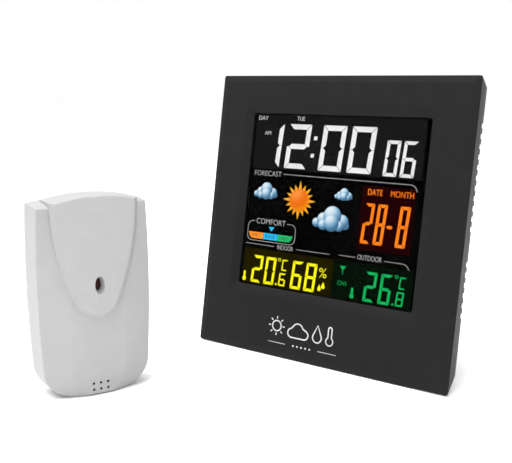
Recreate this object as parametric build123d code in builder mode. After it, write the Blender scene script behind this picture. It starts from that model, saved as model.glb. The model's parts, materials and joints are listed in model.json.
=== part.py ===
from build123d import *

import math
import os

# A home weather station: a square table display that leans on a fold-out stand, and its outdoor sensor.
#
# The row frame is in millimetres. +Z is up, and the table is the plane z = 0. The display faces -Y and leans
# back. The origin is the middle of the rubber foot strip under the display, on the table. The outdoor sensor
# stands in front of the display's left half, turned to face the right.

# ---- Display unit: the housing -------------------------------------------------------------------

LEAN = 9.67  # the display leans back by this angle, in degrees
FACE_SIZE = 165.0  # the square front face
FOOT_SETBACK = 4.7  # from the front lower edge back to the middle of the foot strip
EDGE_LIFT = 0.3  # the front lower edge clears the table by this

SIDE_DRAFT = 0.16  # how far the sides draw in for each millimetre of depth
TOP_DRAFT = 0.28
BOTTOM_DRAFT = 0.60
RIM_DEPTH = 7.5  # the front frame ends here and the rear cover begins
SEAM = 0.25
SHOULDER_DEPTH = 13.5  # the straight sides end here and the rear slope begins
BACK_DEPTH = 26.0
BACK_HALF_WIDTH = 70.0
BACK_LOW = 16.0
BACK_HIGH = 151.0
WALL = 2.0
CORNER_RADIUS = 1.2
EDGE_BEVEL = 4.0
EDGE_BEVEL_DEPTH = 0.7

WINDOW_WIDTH = 115.0
WINDOW_HEIGHT = 103.2
WINDOW_CENTRE = 91.0  # height of the window's middle above the lower edge, along the face
DISH_WIDTH = 6.0  # the soft slope that runs down to the window
DISH_DEPTH = 1.5

# ---- Display unit: the display stack and the boards ----------------------------------------------

LENS_DEPTH = 2.4
LENS_THICK = 1.4
LENS_MARGIN = 3.0
LCD_DEPTH = 4.2
LCD_THICK = 2.2
LCD_WIDTH = 117.0
LCD_HEIGHT = 105.0
GUIDE_THICK = 3.0
GUIDE_HEIGHT = 100.0
REFLECTOR_THICK = 0.2
BRACKET_WIDTH = 122.0
BRACKET_HEIGHT = 109.4
BOARD_DEPTH = 10.6
BOARD_THICK = 1.2
BOARD_WIDTH = 120.0
BOARD_HEIGHT = 122.0
BOARD_POSTS = [(-52, 32.8), (52, 32.8), (-52, 149.2), (52, 149.2)]
POST_RADIUS = 2.1

HOUSING_SCREWS = [(-66, 28), (66, 28), (-66, 143), (66, 143)]
BOSS_RADIUS = 3.1
BOSS_MEET = 16.0  # the front bosses and the rear posts meet at this depth
SCREW_RADIUS = 1.1
SCREW_HEAD_RADIUS = 2.2
SCREW_HEAD = 1.3

# ---- Display unit: stand, battery bay, keys, socket and hanger -----------------------------------

STAND_WIDTH = 64.0
STAND_LENGTH = 48.0
STAND_THICK = 2.6
STAND_SWING = 101.5  # from folded flat to standing, in degrees
HINGE_HEIGHT = 24.0
HINGE_DEPTH = 24.1
HINGE_HUB = 1.9
PIN_RADIUS = 1.0
PIN_LENGTH = 72.0
RECESS_DEPTH = 21.8  # the floor of the tray that the stand folds into
RECESS_LOW = 21.9
RECESS_HIGH = 73.5

BAY_X = -36.0
BAY_Y = 108.0
BAY_WIDTH = 49.4
BAY_HEIGHT = 33.3
BAY_FLOOR = 13.6
BAY_WALL = 1.4
DOOR_THICK = 1.6
DOOR_MARGIN = 2.6

CELL_RADIUS = 5.2  # a size AAA cell
CELL_BODY = 43.7
CELL_CAP_RADIUS = 1.9
CELL_CAP = 0.8
CELL_PITCH = 10.9
SPRING_FOOT = 3.4  # a battery spring's radius at its plate
SPRING_TIP = 2.2
PLATE = 0.4  # a battery contact's thickness
PLATE_DROP = 9.0

KEY_X = 44.0
KEY_HEIGHTS = {"mode_key": 134, "up_key": 124, "down_key": 114, "channel_key": 104, "alarm_key": 94}
KEY_LENGTH = 9.0
KEY_WIDTH = 5.0
KEY_PROUD = 1.0
KEY_TRAVEL = 0.8
SWITCH_SIZE = 6.0
SWITCH_BODY = 3.5
SWITCH_PLUNGER = 1.0

SNOOZE_LENGTH = 46.0
SNOOZE_WIDTH = 3.4
SNOOZE_DEPTH = 10.9
SNOOZE_TOP = 162.7

SOCKET_X = 50.0
SOCKET_Y = 46.0
SOCKET_SIZE = 10.0
SOCKET_BORE = 1.8
SOCKET_BORE_LENGTH = 9.0

HANGER_Y = 134.5
HANGER_RADIUS = 4.0
HANGER_SLOT = 4.2
HANGER_RISE = 8.0
HANGER_PLATE = (17.0, 19.0)
HANGER_CENTRE = 138.0

VENT_PITCH = 5.4
VENT_HEIGHT = 2.6
VENT_GROUPS = [(86.6, 11), (41.0, 6)]  # the lowest slot of each group, and how many it has

FIT_GAP = 0.2  # clearance between pieces that are put together by hand

# ---- Outdoor sensor ------------------------------------------------------------------------------

SENSOR_X = -67.8
SENSOR_Y = -103.3
SENSOR_YAW = 66.5  # it is turned this far about +Z from facing -Y
SENSOR_PANEL = 3.6  # the flat front panel stands this far in front of the outline's front edge
SENSOR_PARTING = 13.4
SENSOR_BACK = 20.0
SENSOR_WALL = 1.8
SENSOR_BOSSES = [(-22.3, 88), (22.3, 88), (-21.0, 15), (21.0, 15)]
SENSOR_MEET = 15.0  # the front bosses and the rear posts meet at this depth
SENSOR_DIP = -0.4  # the outline dips this far below the table before the base is cut flat
VISOR_LIFT = 4.4
EYE_HEIGHT = 59.0

CELLS_LOW = 22.0  # the sensor's battery bay
CELLS_HIGH = 71.4
CELLS_HALF = 11.2
CELLS_FLOOR = 7.6
CELL_WALL = 1.4
LID_HALF = 13.8
LID_LOW = 19.4
LID_HIGH = 74.0
SENSOR_HOOK_Y = 83.4
SENSOR_HOOK_RADIUS = 3.5
SENSOR_HOOK_SLOT = 3.6
SENSOR_HOOK_RISE = 6.0
SENSOR_HOOK_PLATE = (15.0, 17.0)
SENSOR_HOOK_CENTRE = 86.4
SELECTOR_X = -7.0
SELECTOR_Y = 12.6
RESET_X = 8.0

lean = math.radians(LEAN)
yaw = math.radians(SENSOR_YAW)

# Sketches on the face plane run x to the right and y up along the face, and its normal points at the reader.
FACE = Plane(
    origin=(0, -FOOT_SETBACK, EDGE_LIFT),
    x_dir=(1, 0, 0),
    z_dir=(0, -math.cos(lean), math.sin(lean)),
)
# Sketches on the sensor's plane run x to its right and y straight up.
SENSOR = Plane(
    origin=(SENSOR_X, SENSOR_Y, 0),
    x_dir=(math.cos(yaw), math.sin(yaw), 0),
    z_dir=(math.sin(yaw), -math.cos(yaw), 0),
)

finished = []


def finish(builder, name):
    """Labels a finished piece and queues it for export."""
    builder.part.label = name
    finished.append(builder.part)


def deep(depth):
    """The plane parallel to the display's face, this far behind it."""
    return FACE.offset(-depth)


def inside(depth):
    """The plane parallel to the sensor's front, this far behind its front edge."""
    return SENSOR.offset(-depth)


# ---- Outlines, each drawn into the open sketch ---------------------------------------------------


def housing(depth, inset=0.0, radius=CORNER_RADIUS):
    """The housing's tapered outline at a depth, drawn in by an inset."""
    half_width = FACE_SIZE / 2 - SIDE_DRAFT * depth - inset
    low = BOTTOM_DRAFT * depth + inset
    high = FACE_SIZE - TOP_DRAFT * depth - inset
    with Locations((0, (low + high) / 2)):
        RectangleRounded(2 * half_width, high - low, radius)


def flat_back(inset=0.0):
    """The outline of the flat back, drawn in by an inset."""
    with Locations((0, (BACK_LOW + BACK_HIGH) / 2)):
        RectangleRounded(
            2 * (BACK_HALF_WIDTH - inset), BACK_HIGH - BACK_LOW - 2 * inset, CORNER_RADIUS
        )


def window(margin, radius, mode=Mode.ADD):
    """The window's outline, grown by a margin."""
    width, height = WINDOW_WIDTH + 2 * margin, WINDOW_HEIGHT + 2 * margin
    with Locations((0, WINDOW_CENTRE)):
        RectangleRounded(width, height, radius, mode=mode)


def block(left, right, low, high, mode=Mode.ADD):
    """A rectangle between four edges."""
    with Locations(((left + right) / 2, (low + high) / 2)):
        Rectangle(right - left, high - low, mode=mode)


def panel(width, height, mode=Mode.ADD):
    """A rectangle centred on the window."""
    with Locations((0, WINDOW_CENTRE)):
        Rectangle(width, height, mode=mode)


def bay(margin=0.0):
    """The battery bay's outline, grown by a margin."""
    with Locations((BAY_X, BAY_Y)):
        RectangleRounded(BAY_WIDTH + 2 * margin, BAY_HEIGHT + 2 * margin, 0.9)


def keyhole(height, radius, slot, rise):
    """A round entry for a screw head, and a narrower slot that runs up from it."""
    with Locations((0, height)):
        Circle(radius)
    with Locations((0, height + rise / 2)):
        SlotOverall(rise + slot, slot, rotation=90)


def sensor_outline(stretch=1.0, inset=0.0, bottom=0.0):
    """The sensor's outline: bowed sides, a crowned top, and a round lower end with a flat to stand on."""
    half = [
        (0, 101.6 - inset),
        (28.6 * stretch - inset, 98.8 - inset),
        (29.7 * stretch - inset, 57.0),
        (28.2 * stretch - inset, 15.0),
        (26.3 * stretch - inset, 8.4 + bottom / 2),
        (21.4 * stretch - inset, 3.7 + bottom),
        (17.0 * stretch - inset, 1.4 + bottom),
        (13.0 * stretch - inset, bottom),
    ]
    with BuildLine() as outline:
        for side in (1, -1):
            points = [(side * x, y) for x, y in half]
            top = (side * 14.5 * stretch, 100.9 - inset)
            ThreePointArc(points[0], top, points[1])
            ThreePointArc(points[1], points[2], points[3])
            ThreePointArc(points[3], points[4], points[5])
            ThreePointArc(points[5], points[6], points[7])
            Line(points[7], (0, bottom))
    make_face(outline.edges())


def visor_outline(inset):
    """The raised tongue on the sensor's front: wide at the top, narrowing to a round tip."""
    top = (22.8 - inset, 101.4)
    flank = (19.4 - inset, 70.0)
    shoulder = (13.2 - 0.9 * inset, 48.5 + 0.35 * inset)
    with BuildLine() as outline:
        ThreePointArc((-top[0], top[1]), (0, 104.0), top)
        ThreePointArc(top, flank, shoulder)
        ThreePointArc(shoulder, (0, 40.0 + inset), (-shoulder[0], shoulder[1]))
        ThreePointArc((-shoulder[0], shoulder[1]), (-flank[0], flank[1]), (-top[0], top[1]))
    make_face(outline.edges())


# ---- Display unit: housing -----------------------------------------------------------------------

with BuildPart() as front_frame:
    with BuildSketch(FACE):
        housing(0, EDGE_BEVEL)
    with BuildSketch(deep(EDGE_BEVEL_DEPTH)):
        housing(EDGE_BEVEL_DEPTH)
    with BuildSketch(deep(RIM_DEPTH)):
        housing(RIM_DEPTH)
    loft(ruled=True)
    # The hollow behind the face.
    with BuildSketch(deep(LENS_DEPTH)):
        housing(LENS_DEPTH, WALL + 0.6)
    with BuildSketch(deep(RIM_DEPTH)):
        housing(RIM_DEPTH, WALL)
    loft(ruled=True, mode=Mode.SUBTRACT)
    # The dish that slopes down to the window, and the window itself.
    with BuildSketch(FACE):
        window(DISH_WIDTH, 7.0)
    with BuildSketch(deep(DISH_DEPTH)):
        window(0, 1.6)
    loft(ruled=True, mode=Mode.SUBTRACT)
    with BuildSketch(FACE):
        window(0, 1.6)
    extrude(amount=-LENS_DEPTH, mode=Mode.SUBTRACT)
    # A low wall that the lens sits in.
    with BuildSketch(deep(LENS_DEPTH)):
        window(LENS_MARGIN + FIT_GAP + 1.2, 3.0)
        window(LENS_MARGIN + FIT_GAP, 2.0, Mode.SUBTRACT)
    extrude(amount=-(LCD_DEPTH - LENS_DEPTH))
    # Bosses for the housing screws, and posts for the main board.
    with BuildSketch(deep(LENS_DEPTH)):
        with Locations(*HOUSING_SCREWS):
            Circle(BOSS_RADIUS)
    extrude(amount=-(BOSS_MEET - LENS_DEPTH))
    with BuildSketch(deep(LENS_DEPTH)):
        with Locations(*BOARD_POSTS):
            Circle(POST_RADIUS)
    extrude(amount=-(BOARD_DEPTH - LENS_DEPTH))
    with BuildSketch(deep(LENS_DEPTH + 2)):
        with Locations(*HOUSING_SCREWS, *BOARD_POSTS):
            Circle(SCREW_RADIUS)
    extrude(amount=-BACK_DEPTH, mode=Mode.SUBTRACT)
finish(front_frame, "front_frame")

with BuildPart() as rear_cover:
    with BuildSketch(deep(RIM_DEPTH + SEAM)):
        housing(RIM_DEPTH + SEAM)
    with BuildSketch(deep(SHOULDER_DEPTH)):
        housing(SHOULDER_DEPTH)
    with BuildSketch(deep(BACK_DEPTH)):
        flat_back()
    loft(ruled=True)
    with BuildSketch(deep(RIM_DEPTH + SEAM)):
        housing(RIM_DEPTH + SEAM, WALL)
    with BuildSketch(deep(SHOULDER_DEPTH)):
        housing(SHOULDER_DEPTH, WALL + 0.3)
    with BuildSketch(deep(BACK_DEPTH - WALL)):
        flat_back(WALL)
    loft(ruled=True, mode=Mode.SUBTRACT)
    # Battery bay, with a ledge for its door.
    with BuildSketch(deep(BAY_FLOOR - BAY_WALL)):
        bay(BAY_WALL)
    extrude(amount=-(BACK_DEPTH - 1.0 - BAY_FLOOR + BAY_WALL))
    # Tray for the folded stand.
    with BuildSketch(deep(RECESS_DEPTH - 1.6)):
        block(-STAND_WIDTH / 2 - 6, STAND_WIDTH / 2 + 6, RECESS_LOW - 1.6, RECESS_HIGH + 1.6)
    extrude(amount=-(BACK_DEPTH - 0.6 - RECESS_DEPTH + 1.6))
    # Posts for the housing screws.
    with BuildSketch(deep(BOSS_MEET)):
        with Locations(*HOUSING_SCREWS):
            Circle(BOSS_RADIUS + 0.8)
    extrude(amount=-(BACK_DEPTH - 1.0 - BOSS_MEET))
    # Everything that opens through the back.
    with BuildSketch(deep(BAY_FLOOR)):
        bay()
    extrude(amount=-BACK_DEPTH, mode=Mode.SUBTRACT)
    with BuildSketch(deep(BACK_DEPTH - DOOR_THICK)):
        bay(DOOR_MARGIN)
    extrude(amount=-BACK_DEPTH, mode=Mode.SUBTRACT)
    with BuildSketch(deep(RECESS_DEPTH)):
        block(-STAND_WIDTH / 2 - 0.5, STAND_WIDTH / 2 + 0.5, RECESS_LOW, RECESS_HIGH)
    extrude(amount=-BACK_DEPTH, mode=Mode.SUBTRACT)
    with BuildSketch(deep(BOSS_MEET - 1)):
        with Locations(*HOUSING_SCREWS):
            Circle(SCREW_RADIUS + 0.1)
    extrude(amount=-BACK_DEPTH, mode=Mode.SUBTRACT)
    with BuildSketch(deep(BOSS_MEET + 3)):
        with Locations(*HOUSING_SCREWS):
            Circle(SCREW_HEAD_RADIUS + 0.3)
    extrude(amount=-BACK_DEPTH, mode=Mode.SUBTRACT)
    with BuildSketch(deep(BACK_DEPTH - WALL - 1)):
        with Locations(*[(KEY_X, height) for height in KEY_HEIGHTS.values()]):
            SlotOverall(KEY_LENGTH + 0.5, KEY_WIDTH + 0.5)
        with Locations((SOCKET_X, SOCKET_Y)):
            Rectangle(SOCKET_SIZE, SOCKET_SIZE)
        with Locations((0, HANGER_CENTRE)):
            Rectangle(*HANGER_PLATE)
    extrude(amount=-BACK_DEPTH, mode=Mode.SUBTRACT)
    # The stand's hinge pin runs through both side walls of the tray.
    with BuildSketch(Plane(FACE.origin, x_dir=FACE.y_dir, z_dir=(1, 0, 0)).offset(-PIN_LENGTH / 2)):
        with Locations((HINGE_HEIGHT, -HINGE_DEPTH)):
            Circle(PIN_RADIUS)
    extrude(amount=PIN_LENGTH, mode=Mode.SUBTRACT)
    # Slot for the snooze bar, in the top wall.
    with BuildSketch(deep(SNOOZE_DEPTH - SNOOZE_WIDTH / 2 - FIT_GAP)):
        block(-SNOOZE_LENGTH / 2 - 0.25, SNOOZE_LENGTH / 2 + 0.25, FACE_SIZE - 8, FACE_SIZE)
    extrude(amount=-(SNOOZE_WIDTH + 2 * FIT_GAP), mode=Mode.SUBTRACT)
    # Ventilation slots through the rear corners of both sides.
    with BuildSketch(deep(SHOULDER_DEPTH - 2.4)):
        for lowest, count in VENT_GROUPS:
            for step in range(count):
                middle = lowest + step * VENT_PITCH
                for left in (-FACE_SIZE / 2, FACE_SIZE / 2 - 7):
                    block(left, left + 7, middle - VENT_HEIGHT / 2, middle + VENT_HEIGHT / 2)
    extrude(amount=-5.4, mode=Mode.SUBTRACT)
finish(rear_cover, "rear_cover")

with BuildPart() as battery_door:
    with BuildSketch(deep(BACK_DEPTH - DOOR_THICK)):
        bay(DOOR_MARGIN - FIT_GAP)
    extrude(amount=-DOOR_THICK)
    with BuildSketch(deep(BACK_DEPTH - 0.5)):
        for step in range(4):
            middle = BAY_X + BAY_WIDTH / 2 - 3 - 2 * step
            block(middle - 0.5, middle + 0.5, BAY_Y - 8, BAY_Y + 8)
    extrude(amount=-1, mode=Mode.SUBTRACT)
finish(battery_door, "battery_door")

with BuildPart() as wall_hanger:
    with BuildSketch(deep(BACK_DEPTH - WALL)):
        with Locations((0, HANGER_CENTRE)):
            Rectangle(*HANGER_PLATE)
    extrude(amount=-WALL)
    with BuildSketch(deep(BACK_DEPTH - WALL - 1)):
        keyhole(HANGER_Y, HANGER_RADIUS, HANGER_SLOT, HANGER_RISE)
    extrude(amount=-(WALL + 2), mode=Mode.SUBTRACT)
finish(wall_hanger, "wall_hanger")

with BuildPart() as housing_screws:
    with BuildSketch(deep(BOSS_MEET + 3 + SCREW_HEAD)):
        with Locations(*HOUSING_SCREWS):
            Circle(SCREW_HEAD_RADIUS)
    extrude(amount=SCREW_HEAD)
    with BuildSketch(deep(BOSS_MEET + 3)):
        with Locations(*HOUSING_SCREWS):
            Circle(SCREW_RADIUS)
    extrude(amount=10)
    with BuildSketch(deep(BOSS_MEET + 3 + SCREW_HEAD - 0.7)):
        with Locations(*HOUSING_SCREWS):
            Rectangle(2.4, 0.6)
            Rectangle(0.6, 2.4)
    extrude(amount=-1, mode=Mode.SUBTRACT)
finish(housing_screws, "housing_screws")

# ---- Display unit: foot strip, stand and its pin -------------------------------------------------

with BuildPart() as foot_strip:
    with BuildSketch():
        Rectangle(126, 5.6)
    extrude(amount=4)
    # Cut off along the sloping underside of the front frame.
    underside = Plane(FACE.origin, x_dir=(1, 0, 0), z_dir=FACE.y_dir + FACE.z_dir * BOTTOM_DRAFT)
    split(bisect_by=underside, keep=Keep.BOTTOM)
    fillet(foot_strip.edges().filter_by(Axis.Z), 0.8)
finish(foot_strip, "foot_strip")

hinge = FACE.origin + FACE.y_dir * HINGE_HEIGHT - FACE.z_dir * HINGE_DEPTH
# The stand's own plane: y runs from the hinge to its foot as it stands, and the normal points up.
STAND = Plane(hinge, x_dir=(1, 0, 0), z_dir=FACE.z_dir.rotate(Axis.X, -STAND_SWING))
ACROSS = Plane(hinge, x_dir=(0, 1, 0), z_dir=(1, 0, 0))

with BuildPart() as stand_leg:
    with BuildSketch(STAND.offset(-STAND_THICK / 2)):
        with Locations((0, STAND_LENGTH / 2)):
            RectangleRounded(STAND_WIDTH, STAND_LENGTH, 0.8)
    extrude(amount=STAND_THICK)
    # A shallow panel in its outer side, and a notch for a fingernail.
    with BuildSketch(STAND.offset(STAND_THICK / 2 - 0.8)):
        with Locations((0, STAND_LENGTH / 2)):
            RectangleRounded(STAND_WIDTH - 14, STAND_LENGTH - 16, 3)
    extrude(amount=2, mode=Mode.SUBTRACT)
    with BuildSketch(STAND.offset(-STAND_THICK)):
        with Locations((0, STAND_LENGTH)):
            SlotOverall(14, 5)
    extrude(amount=2 * STAND_THICK, mode=Mode.SUBTRACT)
    with BuildSketch(ACROSS.offset(-STAND_WIDTH / 2)):
        Circle(HINGE_HUB)
    extrude(amount=STAND_WIDTH)
    with BuildSketch(ACROSS.offset(-STAND_WIDTH / 2)):
        Circle(PIN_RADIUS + 0.05)
    extrude(amount=STAND_WIDTH, mode=Mode.SUBTRACT)
finish(stand_leg, "stand_leg")

with BuildPart() as stand_foot:
    foot_middle = hinge.Y + STAND.y_dir.Y * STAND_LENGTH - 5
    with BuildSketch():
        with Locations((0, foot_middle)):
            RectangleRounded(54, 7, 1)
    extrude(amount=8)
    split(bisect_by=STAND.offset(-STAND_THICK / 2), keep=Keep.BOTTOM)
finish(stand_foot, "stand_foot")

with BuildPart() as stand_pin:
    with BuildSketch(ACROSS.offset(-PIN_LENGTH / 2)):
        Circle(PIN_RADIUS)
    extrude(amount=PIN_LENGTH)
finish(stand_pin, "stand_pin")

# ---- Display unit: the display stack, from the front to the back ---------------------------------

with BuildPart() as display_lens:
    with BuildSketch(deep(LENS_DEPTH)):
        window(LENS_MARGIN, 2.0)
    extrude(amount=-LENS_THICK)
finish(display_lens, "display_lens")

with BuildPart() as lens_tape:
    with BuildSketch(deep(LENS_DEPTH + LENS_THICK)):
        window(LENS_MARGIN, 2.0)
        panel(LCD_WIDTH - 3, LCD_HEIGHT - 3, Mode.SUBTRACT)
    extrude(amount=-(LCD_DEPTH - LENS_DEPTH - LENS_THICK))
finish(lens_tape, "lens_tape")

with BuildPart() as lcd_panel:
    with BuildSketch(deep(LCD_DEPTH)):
        panel(LCD_WIDTH, LCD_HEIGHT)
    extrude(amount=-LCD_THICK)
finish(lcd_panel, "lcd_panel")

guide_depth = LCD_DEPTH + LCD_THICK
reflector_depth = guide_depth + GUIDE_THICK

with BuildPart() as light_guide:
    with BuildSketch(deep(guide_depth)):
        panel(LCD_WIDTH, GUIDE_HEIGHT)
    extrude(amount=-GUIDE_THICK)
finish(light_guide, "light_guide")

with BuildPart() as reflector:
    with BuildSketch(deep(reflector_depth)):
        panel(LCD_WIDTH, GUIDE_HEIGHT)
    extrude(amount=-REFLECTOR_THICK)
finish(reflector, "reflector")

guide_edge = WINDOW_CENTRE + GUIDE_HEIGHT / 2

with BuildPart() as backlight_strip:
    with BuildSketch(deep(guide_depth)):
        block(-LCD_WIDTH / 2, LCD_WIDTH / 2, guide_edge + 1.2, guide_edge + 2.2)
        for step in range(6):
            middle = -45 + 18 * step
            block(middle - 2, middle + 2, guide_edge + 0.1, guide_edge + 1.2)
    extrude(amount=-GUIDE_THICK)
finish(backlight_strip, "backlight_strip")

with BuildPart() as contact_strip:
    with BuildSketch(deep(guide_depth)):
        block(-54, 54, WINDOW_CENTRE - LCD_HEIGHT / 2 + 0.3, WINDOW_CENTRE - GUIDE_HEIGHT / 2 - 0.3)
    extrude(amount=-(BOARD_DEPTH - guide_depth))
finish(contact_strip, "contact_strip")

with BuildPart() as lcd_bracket:
    with BuildSketch(deep(LCD_DEPTH)):
        panel(BRACKET_WIDTH, BRACKET_HEIGHT)
    extrude(amount=-(BOARD_DEPTH - LCD_DEPTH))
    with BuildSketch(deep(LCD_DEPTH)):
        panel(LCD_WIDTH + 0.4, LCD_HEIGHT + 0.4)
    extrude(amount=-(reflector_depth + REFLECTOR_THICK - LCD_DEPTH), mode=Mode.SUBTRACT)
    with BuildSketch(deep(LCD_DEPTH)):
        panel(LCD_WIDTH - 8, GUIDE_HEIGHT - 8)
        block(-54.4, 54.4, WINDOW_CENTRE - LCD_HEIGHT / 2, WINDOW_CENTRE - GUIDE_HEIGHT / 2)
    extrude(amount=-BACK_DEPTH, mode=Mode.SUBTRACT)
finish(lcd_bracket, "lcd_bracket")

# ---- Display unit: the main board and what is soldered to it -------------------------------------

board_back = BOARD_DEPTH + BOARD_THICK

with BuildPart() as main_board:
    with BuildSketch(deep(BOARD_DEPTH)):
        panel(BOARD_WIDTH, BOARD_HEIGHT)
        with Locations(*BOARD_POSTS):
            Circle(SCREW_RADIUS + 0.1, mode=Mode.SUBTRACT)
    extrude(amount=-BOARD_THICK)
finish(main_board, "main_board")

with BuildPart() as board_screws:
    with BuildSketch(deep(board_back)):
        with Locations(*BOARD_POSTS):
            Circle(SCREW_HEAD_RADIUS - 0.2)
    extrude(amount=-SCREW_HEAD)
    with BuildSketch(deep(board_back)):
        with Locations(*BOARD_POSTS):
            Circle(SCREW_RADIUS)
    extrude(amount=6)
finish(board_screws, "board_screws")


def on_board(name, left, right, low, high, tall, start=board_back):
    """A plain part that stands on the main board's back."""
    with BuildPart() as item:
        with BuildSketch(deep(start)):
            block(left, right, low, high)
        extrude(amount=-tall)
    finish(item, name)


on_board("processor", 4, 18, 76, 84, 1.4)
on_board("clock_crystal", 21, 29, 78, 81, 2.2)
on_board("radio_module", 6, 28, 91, 105, 2.0)
on_board("climate_sensor", 54, 59, 62, 68, 2.4)

with BuildPart() as radio_antenna:
    with BuildSketch(Plane(FACE.origin, x_dir=FACE.y_dir, z_dir=(1, 0, 0)).offset(8)):
        with Locations((107.5, -board_back - 2.2)):
            Circle(2.2)
            Circle(1.6, mode=Mode.SUBTRACT)
    extrude(amount=20)
finish(radio_antenna, "radio_antenna")

with BuildPart() as buzzer:
    with BuildSketch(deep(board_back)):
        with Locations((18, 122)):
            Circle(7)
    extrude(amount=-4)
    with BuildSketch(deep(board_back + 3)):
        with Locations((18, 122)):
            Circle(1)
    extrude(amount=-2, mode=Mode.SUBTRACT)
finish(buzzer, "buzzer")

with BuildPart() as key_switches:
    with BuildSketch(deep(board_back)):
        with Locations(*[(KEY_X, height) for height in KEY_HEIGHTS.values()]):
            Rectangle(SWITCH_SIZE, SWITCH_SIZE)
    extrude(amount=-SWITCH_BODY)
    with BuildSketch(deep(board_back + SWITCH_BODY)):
        with Locations(*[(KEY_X, height) for height in KEY_HEIGHTS.values()]):
            Circle(1.7)
    extrude(amount=-SWITCH_PLUNGER)
finish(key_switches, "key_switches")

board_top = WINDOW_CENTRE + BOARD_HEIGHT / 2

with BuildPart() as snooze_switch:
    with BuildSketch(deep(board_back)):
        block(-3, 3, board_top - 3.5, board_top)
    extrude(amount=-5)
    with BuildSketch(deep(board_back + 1.2)):
        block(-1.5, 1.5, board_top, board_top + SWITCH_PLUNGER)
    extrude(amount=-2.6)
finish(snooze_switch, "snooze_switch")

with BuildPart() as power_socket:
    with BuildSketch(deep(board_back)):
        with Locations((SOCKET_X, SOCKET_Y)):
            Rectangle(SOCKET_SIZE, SOCKET_SIZE)
    extrude(amount=-(BACK_DEPTH - board_back))
    with BuildSketch(deep(BACK_DEPTH - SOCKET_BORE_LENGTH)):
        with Locations((SOCKET_X, SOCKET_Y)):
            Circle(SOCKET_BORE)
    extrude(amount=-BACK_DEPTH, mode=Mode.SUBTRACT)
finish(power_socket, "power_socket")

# ---- Display unit: keys and snooze bar -----------------------------------------------------------


def rear_key(name, height):
    """One key in the back: a cap, a collar that rests on the cover's inside, and a stem to its switch."""
    stem_end = board_back + SWITCH_BODY + SWITCH_PLUNGER + KEY_TRAVEL + 0.05
    with BuildPart() as key:
        with BuildSketch(deep(BACK_DEPTH - WALL)):
            with Locations((KEY_X, height)):
                SlotOverall(KEY_LENGTH, KEY_WIDTH)
        extrude(amount=-(WALL + KEY_PROUD))
        with BuildSketch(deep(BACK_DEPTH - WALL)):
            with Locations((KEY_X, height)):
                SlotOverall(KEY_LENGTH + 2.4, KEY_WIDTH + 2.4)
        extrude(amount=0.9)
        with BuildSketch(deep(BACK_DEPTH - WALL)):
            with Locations((KEY_X, height)):
                Circle(1.5)
        extrude(amount=BACK_DEPTH - WALL - stem_end)
    finish(key, name)


for name, height in KEY_HEIGHTS.items():
    rear_key(name, height)

with BuildPart() as snooze_bar:
    with BuildSketch(deep(SNOOZE_DEPTH - SNOOZE_WIDTH / 2)):
        block(-SNOOZE_LENGTH / 2, SNOOZE_LENGTH / 2, 157.5, SNOOZE_TOP)
    extrude(amount=-SNOOZE_WIDTH)
    with BuildSketch(deep(RIM_DEPTH + SEAM + 0.1)):
        block(-SNOOZE_LENGTH / 2 - 1.6, SNOOZE_LENGTH / 2 + 1.6, 157.2, 158.7)
    extrude(amount=-5.4)
    stem_end = board_top + SWITCH_PLUNGER + KEY_TRAVEL + 0.05
    with BuildSketch(deep(SNOOZE_DEPTH)):
        block(-2.5, 2.5, stem_end, 157.5)
    extrude(amount=-2)
    with BuildSketch(deep(SNOOZE_DEPTH)):
        block(-2.5, 2.5, stem_end, stem_end + 3)
    extrude(amount=-4)
finish(snooze_bar, "snooze_bar")

# ---- Display unit: cells and contacts ------------------------------------------------------------


def cell(name, base):
    """A size AAA cell that stands on its flat end on a plane."""
    with BuildPart() as body:
        with BuildSketch(base):
            Circle(CELL_RADIUS)
        extrude(amount=CELL_BODY)
        with BuildSketch(base.offset(CELL_BODY)):
            Circle(CELL_CAP_RADIUS)
        extrude(amount=CELL_CAP)
    finish(body, name)


spring_length = BAY_WIDTH - CELL_BODY - CELL_CAP - 2 * PLATE
cell_depth = BAY_FLOOR + CELL_RADIUS
bay_left = BAY_X - BAY_WIDTH / 2
bay_right = BAY_X + BAY_WIDTH / 2
spring_bases = []

for index, height in enumerate([BAY_Y + CELL_PITCH, BAY_Y, BAY_Y - CELL_PITCH]):
    # Neighbouring cells point opposite ways.
    way = 1 if index % 2 == 0 else -1
    wall_x = bay_left if way == 1 else bay_right
    corner = FACE.origin + FACE.y_dir * height - FACE.z_dir * cell_depth
    start = Vector(wall_x + way * PLATE, corner.Y, corner.Z)
    spring_bases.append(Plane(start, x_dir=(0, 0, 1), z_dir=(way, 0, 0)))
    cell(f"cell_{index + 1}", spring_bases[-1].offset(spring_length))

with BuildPart() as battery_springs:
    for base in spring_bases:
        with BuildSketch(base):
            Circle(SPRING_FOOT)
        with BuildSketch(base.offset(spring_length)):
            Circle(SPRING_TIP)
        loft()
finish(battery_springs, "battery_springs")

with BuildPart() as battery_contacts:
    with BuildSketch(deep(BAY_FLOOR)):
        for height in (BAY_Y + CELL_PITCH, BAY_Y, BAY_Y - CELL_PITCH):
            block(bay_left, bay_left + PLATE, height - 4, height + 4)
            block(bay_right - PLATE, bay_right, height - 4, height + 4)
    extrude(amount=-PLATE_DROP)
finish(battery_contacts, "battery_contacts")

# ---- Outdoor sensor: shells ----------------------------------------------------------------------

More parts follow.
